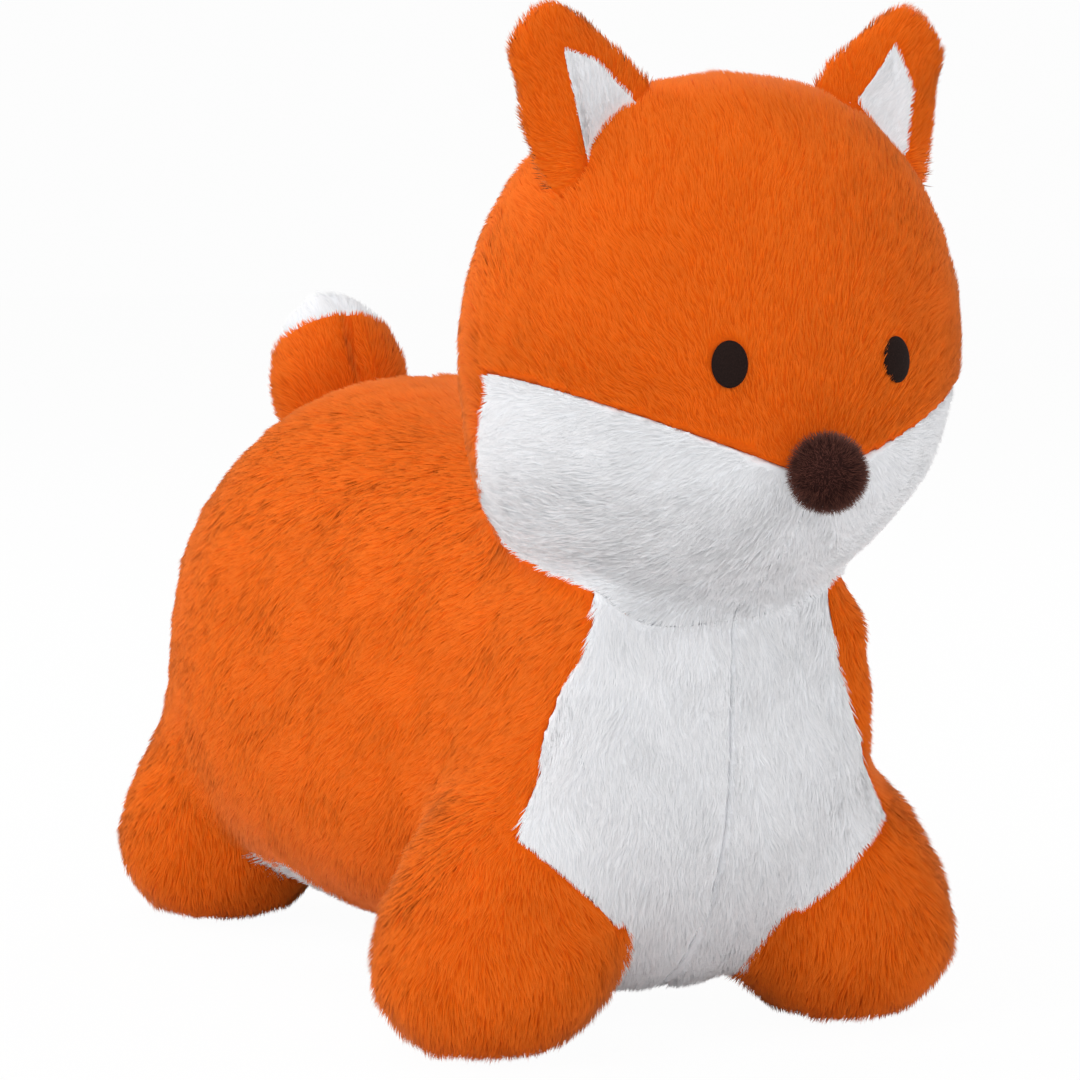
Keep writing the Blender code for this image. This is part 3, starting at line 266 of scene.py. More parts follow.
# %% Draw a sphere out through its stations
def read_stations(stations, share):
    """The station at a share of the way along, on a smooth curve through them all."""
    first = tuple(stations[1][:3]) + tuple(-value for value in stations[1][3:])
    last = tuple(stations[-2][:3]) + tuple(-value for value in stations[-2][3:])
    points = [np.array(point, float) for point in (first, *stations, last)]
    knots = [0.0]
    for one, two in zip(points, points[1:]):
        knots.append(knots[-1] + max(1e-6, np.linalg.norm(two - one) ** 0.5))
    place = knots[1] + share * (knots[-2] - knots[1])
    index = 1
    while index < len(points) - 3 and place > knots[index + 1]:
        index += 1
    before, one, two, after = points[index - 1:index + 3]
    span = knots[index + 1] - knots[index]
    t = (place - knots[index]) / span
    slope_one = (two - before) / (knots[index + 1] - knots[index - 1]) * span
    slope_two = (after - one) / (knots[index + 2] - knots[index]) * span
    return (
        one * (2 * t ** 3 - 3 * t ** 2 + 1)
        + two * (3 * t ** 2 - 2 * t ** 3)
        + slope_one * (t ** 3 - 2 * t ** 2 + t)
        + slope_two * (t ** 3 - t ** 2)
    )


def only(thing):
    """Make one object the only selected one."""
    bpy.ops.object.select_all(action="DESELECT")
    thing.select_set(True)
    bpy.context.view_layer.objects.active = thing


def edit_all(thing, *steps):
    """Run operators of the edit mode, each with its settings, on the whole of a mesh."""
    only(thing)
    bpy.ops.object.mode_set(mode="EDIT")
    bpy.ops.mesh.select_all(action="SELECT")
    for operator, settings in steps:
        operator(**settings)
    bpy.ops.object.mode_set(mode="OBJECT")


def add_ball(name, segments, rings, radius, place=(0, 0, 0)):
    """A sphere, with its faces listed in the same order on each run."""
    bpy.ops.object.select_all(action="DESELECT")
    bpy.ops.mesh.primitive_uv_sphere_add(segments=segments, ring_count=rings, radius=radius, location=place)
    ball = bpy.context.object
    ball.name = ball.data.name = name
    faces = [list(face.vertices) for face in ball.data.polygons]
    starts = [face.index(min(face)) for face in faces]
    faces = sorted(face[start:] + face[:start] for face, start in zip(faces, starts))
    points = [vert.co[:] for vert in ball.data.vertices]
    ball.data.clear_geometry()
    ball.data.from_pydata(points, [], faces)
    return ball


def apply_modifier(thing, kind, **settings):
    only(thing)
    modifier = thing.modifiers.new(kind, kind)
    for name, value in settings.items():
        setattr(modifier, name, value)
    bpy.ops.object.modifier_apply(modifier=modifier.name)


FACE_OUT = (bpy.ops.mesh.normals_make_consistent, {"inside": False})


def soft_form(name, stations, up, inset, squareness=2.0, reshape=None, around=96, along=72):
    """A sphere drawn out along its stations, its skin drawn in by inset."""
    form = add_ball(name, around, along, 1)
    rings = {}
    for vert in form.data.vertices:
        polar = math.acos(max(-1.0, min(1.0, vert.co.z)))
        key = round(polar * 1e4)
        if key not in rings:
            rings[key] = read_stations(stations, polar / math.pi)
        x, y, z, half_across, half_up = rings[key]
        turn = math.atan2(vert.co.y, vert.co.x)
        power = 2 / squareness
        side = math.copysign(abs(math.cos(turn)) ** power, math.cos(turn))
        rise = math.copysign(abs(math.sin(turn)) ** power, math.sin(turn))
        if vert.co.xy.length < 1e-4:
            side = rise = 0.0
        vert.co = Vector((x + side * half_across, y, z)) + up * (rise * half_up)
        if reshape:
            reshape(vert.co)
    edit_all(form, FACE_OUT, (bpy.ops.transform.shrink_fatten, {"value": -inset}))
    return form


def widen_below(place):
    """The body is wider low down than high up, like a pear."""
    rise = (place.z - BELLY_CLEARANCE) / BODY_HEIGHT * 2 - 1
    back = (place.y - BODY_FRONT_Y) / BODY_LENGTH
    place.x *= 1 - (PEAR_FRONT + (PEAR_REAR - PEAR_FRONT) * back) * rise


def push_muzzle(place):
    """The face swells a little round the nose."""
    if place.y < HEAD_CENTRE_Y:
        across = place.x / MUZZLE_SPREAD
        rise = (place.z - MUZZLE_Z) / MUZZLE_SPREAD
        place.y -= MUZZLE_SWELL * math.exp(-across ** 2 - rise ** 2)


def flatten_chest(place):
    """The chest hangs straight under the chin, flatter than a plain round end."""
    if place.y < CHEST_FLAT_Y:
        place.y = CHEST_FLAT_Y + (place.y - CHEST_FLAT_Y) * CHEST_FLAT_SHARE


def shape_body(place):
    widen_below(place)
    flatten_chest(place)


def body_form(inset):
    stations = []
    for length, low, high, width in BODY_PROFILE:
        middle = BELLY_CLEARANCE + BODY_HEIGHT * (low + high) / 2
        stations.append((0, BODY_FRONT_Y + length * BODY_LENGTH, middle,
                         BODY_WIDTH / 2 * width, BODY_HEIGHT * (high - low) / 2))
    return soft_form("body_form", stations, Vector((0, 0, 1)), inset, BODY_SQUARENESS, shape_body, 120, 96)


def head_form(inset):
    stations = []
    for height, width, front, rear in HEAD_PROFILE:
        middle = HEAD_CENTRE_Y + HEAD_DEPTH * (rear - front) / 4
        stations.append((0, middle, HEAD_BOTTOM_Z + height * HEAD_HEIGHT,
                         HEAD_WIDTH / 2 * width, HEAD_DEPTH * (rear + front) / 4))
    return soft_form("head_form", stations, Vector((0, 1, 0)), inset, 2.0, push_muzzle)


def leg_form(leg, side, inset):
    leg_x, leg_y, radius, height, lean = LEGS[leg]
    stations = []
    for share, size in LEG_PROFILE:
        stations.append((side * (leg_x - lean * share ** 1.5), leg_y, share * height,
                         radius * size, radius * size))
    return soft_form(f"{leg}_leg_form", stations, Vector((0, 1, 0)), inset, around=64, along=48)


# %% [markdown]
# ## One skin for body, head and legs
# The real cover has no gaps where a leg or the head meets the body: the cloth runs
# across in a soft hollow. The six forms are joined, and a voxel remesh melts them into
# one closed skin. The hollows are then smoothed more than the rest, under the chin
# most of all, where the white mask runs almost straight into the chest.

# %% Melt the forms together
VOXEL = 0.0034


def surface_tree(thing):
    mesh = thing.data
    points = [vert.co.copy() for vert in mesh.vertices]
    return BVHTree.FromPolygons(points, [tuple(face.vertices) for face in mesh.polygons])


def depth_in(tree, points):
    """How far each point lies outside a form, below zero inside it."""
    result = np.empty(len(points))
    for index, point in enumerate(points):
        place, normal, _, _ = tree.find_nearest(Vector(point))
        result[index] = (Vector(point) - place).dot(normal)
    return result


def vertex_array(mesh):
    values = np.empty(len(mesh.vertices) * 3, np.float32)
    mesh.vertices.foreach_get("co", values)
    return values.reshape(-1, 3).astype(float)


forms = {"body": body_form(PILE_ROOM), "head": head_form(PILE_ROOM)}
for leg in LEGS:
    for side_name, side in SIDES:
        forms[f"{leg}_leg_{side_name}"] = leg_form(leg, side, PILE_ROOM)
form_trees = {name: surface_tree(form) for name, form in forms.items()}
bpy.ops.object.select_all(action="DESELECT")
for form in forms.values():
    form.select_set(True)
bpy.context.view_layer.objects.active = forms["body"]
bpy.ops.object.join()
whole = bpy.context.object
whole.name = "whole_skin"
apply_modifier(whole, "REMESH", mode="VOXEL", voxel_size=VOXEL, adaptivity=0.0)
print("whole skin", len(whole.data.polygons), "faces")

# %% Soften the hollows
HOLLOW_WIDTH = 0.016
SHOULDER_WIDTH = 0.046
SHOULDER_Z = 0.055
CHIN_WIDTH = 0.030


def owner_distances(points):
    """How far each point lies outside body, head and each leg, as one table."""
    return {name: depth_in(tree, points) for name, tree in form_trees.items()}


points = vertex_array(whole.data)
away = owner_distances(points)
nearest, second = np.sort(np.stack(list(away.values())), axis=0)[:2]
spread = second - nearest
hollow = np.exp(-(spread / HOLLOW_WIDTH) ** 2)
shoulder_share = np.clip((points[:, 2] - SHOULDER_Z) / 0.03, 0, 1) * (points[:, 2] < 0.20)
shoulder = np.exp(-(spread / SHOULDER_WIDTH) ** 2) * shoulder_share
chin = np.exp(-((away["head"] - away["body"]) / CHIN_WIDTH) ** 2) * (points[:, 1] < HEAD_CENTRE_Y + 0.03)
weights = np.clip(np.maximum(np.maximum(hollow, chin), shoulder) + 0.06, 0, 1)
for name, shares, iterations in (("hollow", weights, 60), ("shoulder", shoulder, 260)):
    group = whole.vertex_groups.new(name=name)
    for index, weight in enumerate(shares):
        group.add([index], float(weight), "REPLACE")
    apply_modifier(whole, "SMOOTH", factor=0.5, iterations=iterations, vertex_group=name)
apply_modifier(whole, "SMOOTH", factor=0.5, iterations=4)
bpy.ops.object.shade_smooth()
print("hollows softened at", int((weights > 0.5).sum()), "points")

# %% [markdown]
# ## Cutting the skin into panels
# The pattern pieces meet along seams: a white mask, chest and belly, and orange
# everywhere else. Each seam is written as a number that is below zero on one side and
# above it on the other. Edges that cross zero are split there and the new points are
# joined, so that each seam is one clean line, and the faces then go to their panels.

# %% The seams
MASK_Z = HEAD_BOTTOM_Z + 0.0825
MASK_RISE_PER_WIDTH = 0.335
# On each side, how far the mask's seam is lifted, and its further rise outwards.
MASK_LIFT = {"right": (-0.0012, 0.048), "left": (-0.0006, 0.004)}
RING_Y = HEAD_CENTRE_Y - 0.002
RING_Z = HEAD_BOTTOM_Z + 0.120
# How far the collar drops, from the fox's right to its left.
COLLAR_DROPS = (
    (-0.090, -0.010), (-0.082, -0.008), (-0.078, -0.005), (-0.072, -0.001),
    (-0.060, 0.012), (-0.045, 0.012), (-0.030, 0.009), (-0.015, 0.005), (0.010, 0.002),
)
CHEEK_REAR_Y = HEAD_CENTRE_Y + 0.074
CHEEK_REAR_Z = HEAD_BOTTOM_Z + 0.043
CHEST_STEPS_Z = (-0.30, 0.045, 0.111, 0.141, 0.160, 0.1835, 0.207, 0.222, 0.338)
CHEST_WIDTHS = {
    "right": (0.060, 0.060, 0.0990, 0.0885, 0.0865, 0.0820, 0.0722, 0.0670, 0.0640),
    "left": (0.060, 0.060, 0.0980, 0.0800, 0.0705, 0.0605, 0.0560, 0.0540, 0.0530),
}
CHEST_REAR_Y = BODY_FRONT_Y + 0.086
SHOULDER_SEAM = ((0.051, 0.067), (0.0995, 0.111))
BELLY_WIDTHS = ((-0.142, 0.070), (0.040, 0.078), (0.080, 0.107), (0.215, 0.107))
BELLY_REAR_Y = BODY_FRONT_Y + 0.443
BELLY_TOP_Z = 0.080


def step_between(values, stops):
    """Read a row of (place, height) stops, with the ends held level."""
    places, heights = zip(*stops)
    return np.interp(values, places, heights)


def chest_width(points):
    """How far from the middle the chest's side seam runs, at each point's height."""
    right, left = (np.interp(points[:, 2], CHEST_STEPS_Z, CHEST_WIDTHS[side]) for side in ("right", "left"))
    return np.where(points[:, 0] < 0, right, left)


def mask_height(points):
    """The height of the seam between the orange face and the white mask."""
    x = np.abs(points[:, 0])
    right, left = (MASK_Z + lift + (MASK_RISE_PER_WIDTH + more) * x for lift, more in MASK_LIFT.values())
    return np.where(points[:, 0] < 0, right, left)


def leg_number(points, legs):
    """A leg's seam, which on the front legs also keeps below the shoulder."""
    (low_x, low_z), (high_x, high_z) = SHOULDER_SEAM
    seam = ((low_x, low_z), (high_x, high_z), (2 * high_x, 3 * high_z))
    shoulder = points[:, 2] - step_between(np.abs(points[:, 0]), seam)
    return np.where(points[:, 1] < LEGS["front"][1] + LEGS["front"][2], np.maximum(legs, shoulder), legs)


def head_number(points, head, others):
    """The seam round the neck, pushed down or up along the collar."""
    front = points[:, 1] < HEAD_CENTRE_Y + 0.09
    return head - others - step_between(points[:, 0], COLLAR_DROPS) * front


def seam_numbers(points, away):
    """For each point, one number a seam: below zero on the named panel's side."""
    x, y, z = np.abs(points[:, 0]), points[:, 1], points[:, 2]
    legs = np.min([away[f"{leg}_leg_{side}"] for leg in LEGS for side in ("right", "left")], axis=0)
    head = head_number(points, away["head"], np.minimum(away["body"], legs))
    legs = leg_number(points, legs - away["body"])
    belly_width = step_between(y, BELLY_WIDTHS)
    ring = step_between(z, ((CHEEK_REAR_Z, CHEEK_REAR_Y), (RING_Z, RING_Y)))
    return {
        "middle": points[:, 0],
        "head": head,
        "legs": legs,
        "chest": np.maximum(x - chest_width(points), y - CHEST_REAR_Y),
        "belly": np.maximum(np.maximum(x - belly_width, y - BELLY_REAR_Y), z - BELLY_TOP_Z),
        "mask": z - mask_height(points),
        "ring": y - ring,
    }


# %% Split the skin along its seams
def split_where(mesh_bm, layer, value_of):
    """Split each edge where its number crosses zero, and join the new points."""
    fresh = []
    for edge in list(mesh_bm.edges):
        one, two = edge.verts
        a, b = value_of(one), value_of(two)
        if a * b < 0:
            share = a / (a - b)
            if share < 0.08:
                one[layer] = 0.0
            elif share > 0.92:
                two[layer] = 0.0
            else:
                _, middle = bmesh.utils.edge_split(edge, one, share)
                middle[layer] = 0.0
                fresh.append(middle)
    zero = [vert for vert in mesh_bm.verts if vert[layer] == 0.0]
    bmesh.ops.connect_verts(mesh_bm, verts=zero)
    return len(fresh)


def cut_panels(form, numbers, needed, panel_of):
    """Cut a form along its seams: its points, its normals and each panel's triangles."""
    cut = bmesh.new()
    cut.from_mesh(form.data)
    bmesh.ops.triangulate(cut, faces=cut.faces)
    layers = {name: cut.verts.layers.float.new("seam_" + name) for name in numbers}
    for name, layer in layers.items():
        for vert, value in zip(cut.verts, numbers[name]):
            vert[layer] = float(value)
    for name, layer in layers.items():
        count = split_where(cut, layer, lambda vert: needed(vert, name, layers))
        print(form.name, "seam", name, count, "crossings")
    bmesh.ops.triangulate(cut, faces=cut.faces)
    cut.normal_update()
    cut.verts.index_update()
    panels = {}
    for face in cut.faces:
        value = {name: sum(vert[layer] for vert in face.verts) for name, layer in layers.items()}
        panel = panel_of(value, face.calc_center_median())
        panels.setdefault(panel, []).append([vert.index for vert in face.verts])
    points = np.array([vert.co[:] for vert in cut.verts])
    normals = np.array([vert.normal[:] for vert in cut.verts])
    cut.free()
    bpy.data.objects.remove(form)
    return points, normals, {name: np.array(faces) for name, faces in sorted(panels.items())}


# %% Cut the skin and sort its faces into panels
SEAM_REACH = 0.001
LEG_SPLIT_Y = 0.03


def needed_on_skin(vert, name, layers):
    """A seam's number where that seam is sewn, and no crossing elsewhere."""
    head, legs = vert[layers["head"]], vert[layers["legs"]]
    if name in ("mask", "ring") and head > SEAM_REACH:
        return 1.0
    if name in ("chest", "belly") and min(head, legs) < -SEAM_REACH:
        return 1.0
    return vert[layers[name]]


def pattern_piece(value, middle):
    """The panel that a face belongs to, from its seam numbers and its middle."""
    side = "right" if middle.x < 0 else "left"
    if value["head"] < 0:
        if value["ring"] > 0:
            return "head_back"
        return f"cheek_{side}" if value["mask"] < 0 else "forehead"
    if value["legs"] < 0:
        leg = "front" if middle.y < LEG_SPLIT_Y else "hind"
        return f"{leg}_leg_{side}"
    if value["chest"] < 0:
        return f"chest_{side}"
    return f"belly_{side}" if value["belly"] < 0 else f"side_{side}"


points = vertex_array(whole.data)
numbers = seam_numbers(points, owner_distances(points))
skin_points, skin_normals, panels = cut_panels(whole, numbers, needed_on_skin, pattern_piece)
print({name: len(faces) for name, faces in panels.items()})

# %% [markdown]
# ## Plush: the cloth and the pile
# Plush is a knitted backing with fibres that stand in it. Between the fibres one looks
# into shade, at the roots, and the tips catch the light. So the cloth is darker than
# the toy looks from a step away, and each strand runs from a deep root to a pale tip.
# A strand stores two numbers in its UV map: across, its own tone, and up, how far
# along it a point lies. The soft sheen at the toy's edges is the shader's.

# %% Make the plush materials
# Root, body, tip and sheen tint of each plush: the deep root is painted shade between the fibres, the pale
# tip a painted highlight.
PLUSH = {
    "orange_plush": ("CF4E06", "EA640C", "F47826", "FFBE92"),
    "white_plush": ("E3E5E9", "F0F1F4", "FAFAFC", "FFFFFF"),
    "brown_plush": ("1C0D0B", "3C211D", "7C4E42", "A8847C"),
}
FIBRE_MIDDLE = 0.42
# A knitted loop is about a millimetre wide.
CLOTH_GRAIN_PER_M = 900.0


def pile_material(slot):
    """Fibres: painted shade at the deep root, the plush's colour in the middle, a painted highlight at the
    pale tip.
    """
    root, body, tip, sheen = (linear(colour) for colour in PLUSH[slot])
    material, shader = new_material(
        slot + "_fibre", Roughness=0.75, Specular_IOR_Level=0.05,
        Sheen_Weight=0.28, Sheen_Roughness=0.35, Sheen_Tint=sheen,
    )
    strand = add_node(material, "UVMap", uv_map="OFBake")
    numbers = add_node(material, "SeparateXYZ", [(0, strand, "UV")])
    along = add_node(material, "ValToRGB", [("Fac", numbers, "Y")])
    ramp = along.color_ramp
    ramp.elements[0].color, ramp.elements[1].color = root, tip
    ramp.elements.new(FIBRE_MIDDLE).color = body
    value = add_node(material, "MapRange", [("Value", numbers, "X")], in_3=0.90, in_4=1.07)
    toned = add_node(
        material, "VectorMath", [(0, along, "Color"), (1, value, 0)], operation="MULTIPLY"
    )
    feed(material, toned, 0, shader, "Base Color")
    return material


def cloth_material(slot):
    """The knitted backing seen between the fibres, mottled between the root's painted shade and the plush's
    colour.
    """
    root, body, _, _ = (linear(colour) for colour in PLUSH[slot])
    material, shader = new_material(slot + "_cloth", Roughness=0.9, Specular_IOR_Level=0.1)
    place = add_node(material, "TexCoord")
    grain = add_node(
        material, "TexNoise", [("Vector", place, "Object")], in_Scale=CLOTH_GRAIN_PER_M, in_Detail=2.0
    )
    shade = add_node(material, "Mix", [("Factor", grain, "Fac")], data_type="RGBA", in_6=root, in_7=body)
    feed(material, shade, "Result", shader, "Base Color")
    return material


def plain_material(name, colour, roughness, **settings):
    """One colour with a slight mottle, and the surface's own numbers."""
    material, shader = new_material(name, Roughness=roughness, **settings)
    place = add_node(material, "TexCoord")
    mottle = add_node(material, "TexNoise", [("Vector", place, "Object")], in_Scale=60.0, in_Detail=3.0)
    value = add_node(material, "MapRange", [("Value", mottle, "Fac")], in_3=0.92, in_4=1.08)
    toned = add_node(material, "VectorMath", [(1, value, 0)], operation="MULTIPLY", in_0=linear(colour)[:3])
    feed(material, toned, 0, shader, "Base Color")
    return material


# Polyester hollow fibre: matt white with a soft sheen.
FIBRE = plain_material("fibre_fill", "EDEDEA", 0.95, Sheen_Weight=0.3)
FIBRES = {slot: pile_material(slot) for slot in PLUSH}
CLOTHS = {slot: cloth_material(slot) for slot in PLUSH}
print("plush in", list(PLUSH))

# %% [markdown]
# ## Sewing the panels
# Each panel becomes a piece of its own: its faces are given their own points, drawn in
# a little along the seam where the thread pulls, and a Solidify modifier gives the
# cloth its thickness inwards, so that every panel is a closed solid like real cloth.

# %% Make the panels
CLOTH_THICKNESS, THIN_CLOTH = 0.0020, 0.0012
SEAM_DIP = 0.0014
# The seam down the chest is drawn in like a groove.
GROOVE_DEPTH, GROOVE_WIDTH, GROOVE_FADE = 0.0022, 0.0026, 0.02
GROOVE_REAR_Y, GROOVE_TOP_Z = BODY_FRONT_Y + 0.08, HEAD_BOTTOM_Z + 0.015
WHITE_PANELS = ("chest", "cheek", "belly")


def slot_of(panel):
    return "white_plush" if panel.split("_")[0] in WHITE_PANELS else "orange_plush"


def sew(name, points, faces, slot, thickness):
    """A closed panel of cloth from some of a form's triangles, with only their points."""
    used, index = np.unique(faces, return_inverse=True)
    mesh = bpy.data.meshes.new(name)
    mesh.from_pydata(points[used].tolist(), [], index.reshape(faces.shape).tolist())
    mesh.shade_smooth()
    skin = add_object(name, mesh)
    apply_modifier(skin, "SOLIDIFY", thickness=thickness, offset=-1.0)
    skin.data.materials.append(CLOTHS[slot])
    return skin


on_seam = np.zeros(len(skin_points), int)
for faces in panels.values():
    on_seam[np.unique(faces)] += 1
groove = GROOVE_DEPTH * np.exp(-(skin_points[:, 0] / GROOVE_WIDTH) ** 2)
groove *= skin_points[:, 1] < GROOVE_REAR_Y
groove *= np.clip((GROOVE_TOP_Z - skin_points[:, 2]) / GROOVE_FADE, 0, 1)
dip = np.maximum(SEAM_DIP * (on_seam > 1), groove)
dipped = skin_points - skin_normals * dip[:, None]
for panel, faces in panels.items():
    skin = sew(panel + "_skin", dipped, faces, slot_of(panel), CLOTH_THICKNESS)
    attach(skin, "stuffed_body")
    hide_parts(panel)
print(len(panels), "panels,", int((on_seam > 1).sum()), "points on seams")

# %% [markdown]
# ## Growing the pile
# A strand is a slim cone with three sides that leans over from its root and ends in a
# point. Neighbours lean together in tufts. The normals of a strand face the way that
# the cloth does, and are turned out a little all round, so that the coat is lit as one
# soft surface. Strands cast no shadow, since their deep roots stand for the shade
# between them. All random numbers are seeded, so that it is the same each time.

# %% Scatter roots and lay strands
MOST_STRANDS = 64000
TUFT_SIZE = 0.0055
TUFT_PULL = 0.20
ROOT_DEPTH = 0.0008
ROUNDNESS = 0.22
FLOOR_CLEAR = 0.0004


def unit(vectors):
    return vectors / np.maximum(np.linalg.norm(vectors, axis=-1, keepdims=True), 1e-9)


def ripple(points, wave, seed):
    """A smooth random number, about -1 to 1, that changes over a wave's length."""
    rng = np.random.default_rng(seed)
    total = np.zeros(len(points))
    for _ in range(6):
        way = unit(rng.normal(size=3)) * (math.tau / wave * rng.uniform(0.6, 1.5))
        total += np.sin(points @ way + rng.uniform(0, math.tau))
    return total / 2.4


def cells(points, size):
    """The number of the small cube of space that each point is in."""
    grid = np.floor(points / size).astype(np.int64)
    return (grid[:, 0] * 73856093) ^ (grid[:, 1] * 19349663) ^ (grid[:, 2] * 83492791)


def scatter(points, normals, faces, spacing, seed):
    """Roots spread over the faces, at most one in each small cube."""
    rng = np.random.default_rng(seed)
    corners = points[faces]
    areas = np.linalg.norm(np.cross(corners[:, 1] - corners[:, 0], corners[:, 2] - corners[:, 0]), axis=1) / 2
    count = int(areas.sum() / spacing ** 2 * 1.45)
    pick = rng.choice(len(faces), count, p=areas / areas.sum())
    u, v = rng.random((2, count))
    over = u + v > 1
    u[over], v[over] = 1 - u[over], 1 - v[over]
    share = np.stack([1 - u - v, u, v], axis=1)[:, :, None]
    roots = (corners[pick] * share).sum(axis=1)
    facing = unit((normals[faces[pick]] * share).sum(axis=1))
    _, first = np.unique(cells(roots, spacing * 0.82), return_index=True)
    first.sort()
    return roots[first], facing[first]


def turn_about(vectors, axes, angles):
    """Turn each vector, at right angles to its axis, by its own angle."""
    return vectors * np.cos(angles)[:, None] + np.cross(axes, vectors) * np.sin(angles)[:, None]


def lay_strands(roots, facing, comb, length, width, lift, seed, limit=None, stray=0.16, pull=TUFT_PULL):
    """The four points, four normals and tone of each strand."""
    rng = np.random.default_rng(seed)
    count = len(roots)
    lay = unit(comb - facing * (comb * facing).sum(axis=1, keepdims=True))
    angle = 0.26 * ripple(roots, 0.050, seed + 1) + 0.20 * ripple(roots, 0.014, seed + 2)
    lay = turn_about(lay, facing, angle + rng.normal(0, stray, count))
    reach = length * (1 + 0.12 * ripple(roots, 0.03, seed + 3) + rng.normal(0, 0.10, count))
    reach = np.clip(reach, 0.4 * length, 1.5 * length)
    rise = lift * (1 + 0.16 * ripple(roots, 0.02, seed + 4) + rng.normal(0, 0.10, count))
    if limit is not None:
        keep = np.ones(count)
        for share in (0.8, 0.6, 0.42, 0.0):
            tips = roots + lay * (reach * keep * 0.86)[:, None]
            beyond = limit(tips) > 0
            keep[beyond] = share
        chosen = keep > 0.1
        roots, facing, lay, reach, rise = (part[chosen] for part in (roots, facing, lay, reach * keep, rise))
        rise = rise * np.where(keep[chosen] < 1, 1.25, 1.0)
        count = len(roots)
    low = roots - facing * ROOT_DEPTH
    tip = roots + (facing * np.sin(rise)[:, None] + lay * np.cos(rise)[:, None]) * reach[:, None]
    warp = np.stack([ripple(roots, 0.011, seed + part) for part in (5, 6, 7)], axis=1) * TUFT_SIZE * 0.45
    tuft = np.unique(cells(roots + warp, TUFT_SIZE), return_inverse=True)[1]
    size = np.bincount(tuft).astype(float)[:, None]
    heart = np.stack([np.bincount(tuft, tip[:, axis]) for axis in range(3)], axis=1) / size
    tip = tip + (heart[tuft] - tip) * pull
    way = unit(tip - low)
    across = unit(np.cross(way, facing))
    turn = rng.uniform(0, math.tau, count)
    thick = (width / 2 * rng.uniform(0.75, 1.2, count))[:, None]
    rings = [turn_about(across, way, turn + math.tau * part / 3) for part in range(3)]
    points = np.stack([*(low + ring * thick for ring in rings), tip], axis=1)
    points[:, :, 2] = np.maximum(points[:, :, 2], FLOOR_CLEAR)
    normals = np.stack([*(facing + ring * ROUNDNESS for ring in rings), facing], axis=1)
    tuft_tone = np.random.default_rng(seed + 8).normal(0, 0.10, size.shape[0])[tuft]
    tone = 0.5 + tuft_tone + rng.normal(0, 0.09, count) + 0.10 * ripple(roots, 0.045, seed + 9)
    return points, unit(normals), np.clip(tone, 0.02, 0.98)


STRAND_FACES = np.array([[0, 1, 3], [1, 2, 3], [2, 0, 3]])
STRAND_ALONG = np.array([0.0, 0.0, 0.0, 1.0])


def strand_mesh(name, points, normals, tone):
    """One mesh of all the strands, with its normals and its two numbers a strand."""
    faces = (np.arange(len(points))[:, None, None] * len(STRAND_ALONG) + STRAND_FACES).reshape(-1, 3)
    mesh = bpy.data.meshes.new(name)
    mesh.from_pydata(points.reshape(-1, 3).tolist(), [], faces.tolist())
    mesh.shade_smooth()
    across, along = np.repeat(tone, len(STRAND_ALONG)), np.tile(STRAND_ALONG, len(points))
    uv = np.stack([across, along], axis=1)[faces.ravel()]
    mesh.uv_layers.new(name="OFBake").data.foreach_set("uv", uv.astype(np.float32).ravel())
    mesh.normals_split_custom_set_from_vertices(normals.reshape(-1, 3).tolist())
    thing = add_object(name, mesh)
    thing.visible_shadow = False
    return thing


def add_pile(name, strands, slot, body):
    """Make the strands into pieces that stay under the most that one may have."""
    points, normals, tone = strands
    count = math.ceil(len(points) / MOST_STRANDS)
    order = np.argsort(points[:, 0, 1], kind="stable")
    pieces = []
    for part, chosen in enumerate(np.array_split(order, count)):
        piece_name = name if count == 1 else f"{name}_{part + 1}"
        piece = strand_mesh(piece_name, points[chosen], normals[chosen], tone[chosen])
        piece.data.materials.append(FIBRES[slot])
        if body:
            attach(piece, body)
        pieces.append(piece)
    print(name, len(points), "strands in", count)
    return pieces


# %% [markdown]
# ## The nap of each panel
# The pile lies one way on each pattern piece: up and back over the head, outwards
# over the cheeks, down the chest, down and back along the sides, and down and out on
# the feet. Where a strand would lie over a seam into the other colour, or over an
# eye, it is cut shorter, as the sewer trims it.

# %% Comb the panels
EYE_X, EYE_Z = 0.0435, HEAD_BOTTOM_Z + 0.135
EYE_WIDTH, EYE_HEIGHT, EYE_DEPTH, EYE_SINK = 0.0166, 0.0214, 0.0062, 0.0016
NOSE_Z = HEAD_BOTTOM_Z + 0.0855
SEAM_OVERLAP = 0.0022
CROWN_TURN = 0.040


def stack(x, y, z):
    return np.stack(np.broadcast_arrays(x, y, z), axis=1).astype(float)


def kind_of(panel):
    return panel.split("_")[0]


def eye_number(points, wide, high):
    """Below one inside an oval round the eye, as shares of its width and height."""
    across = (np.abs(points[:, 0]) - EYE_X) / (EYE_WIDTH * wide)
    return across ** 2 + ((points[:, 2] - EYE_Z) / (EYE_HEIGHT * high)) ** 2


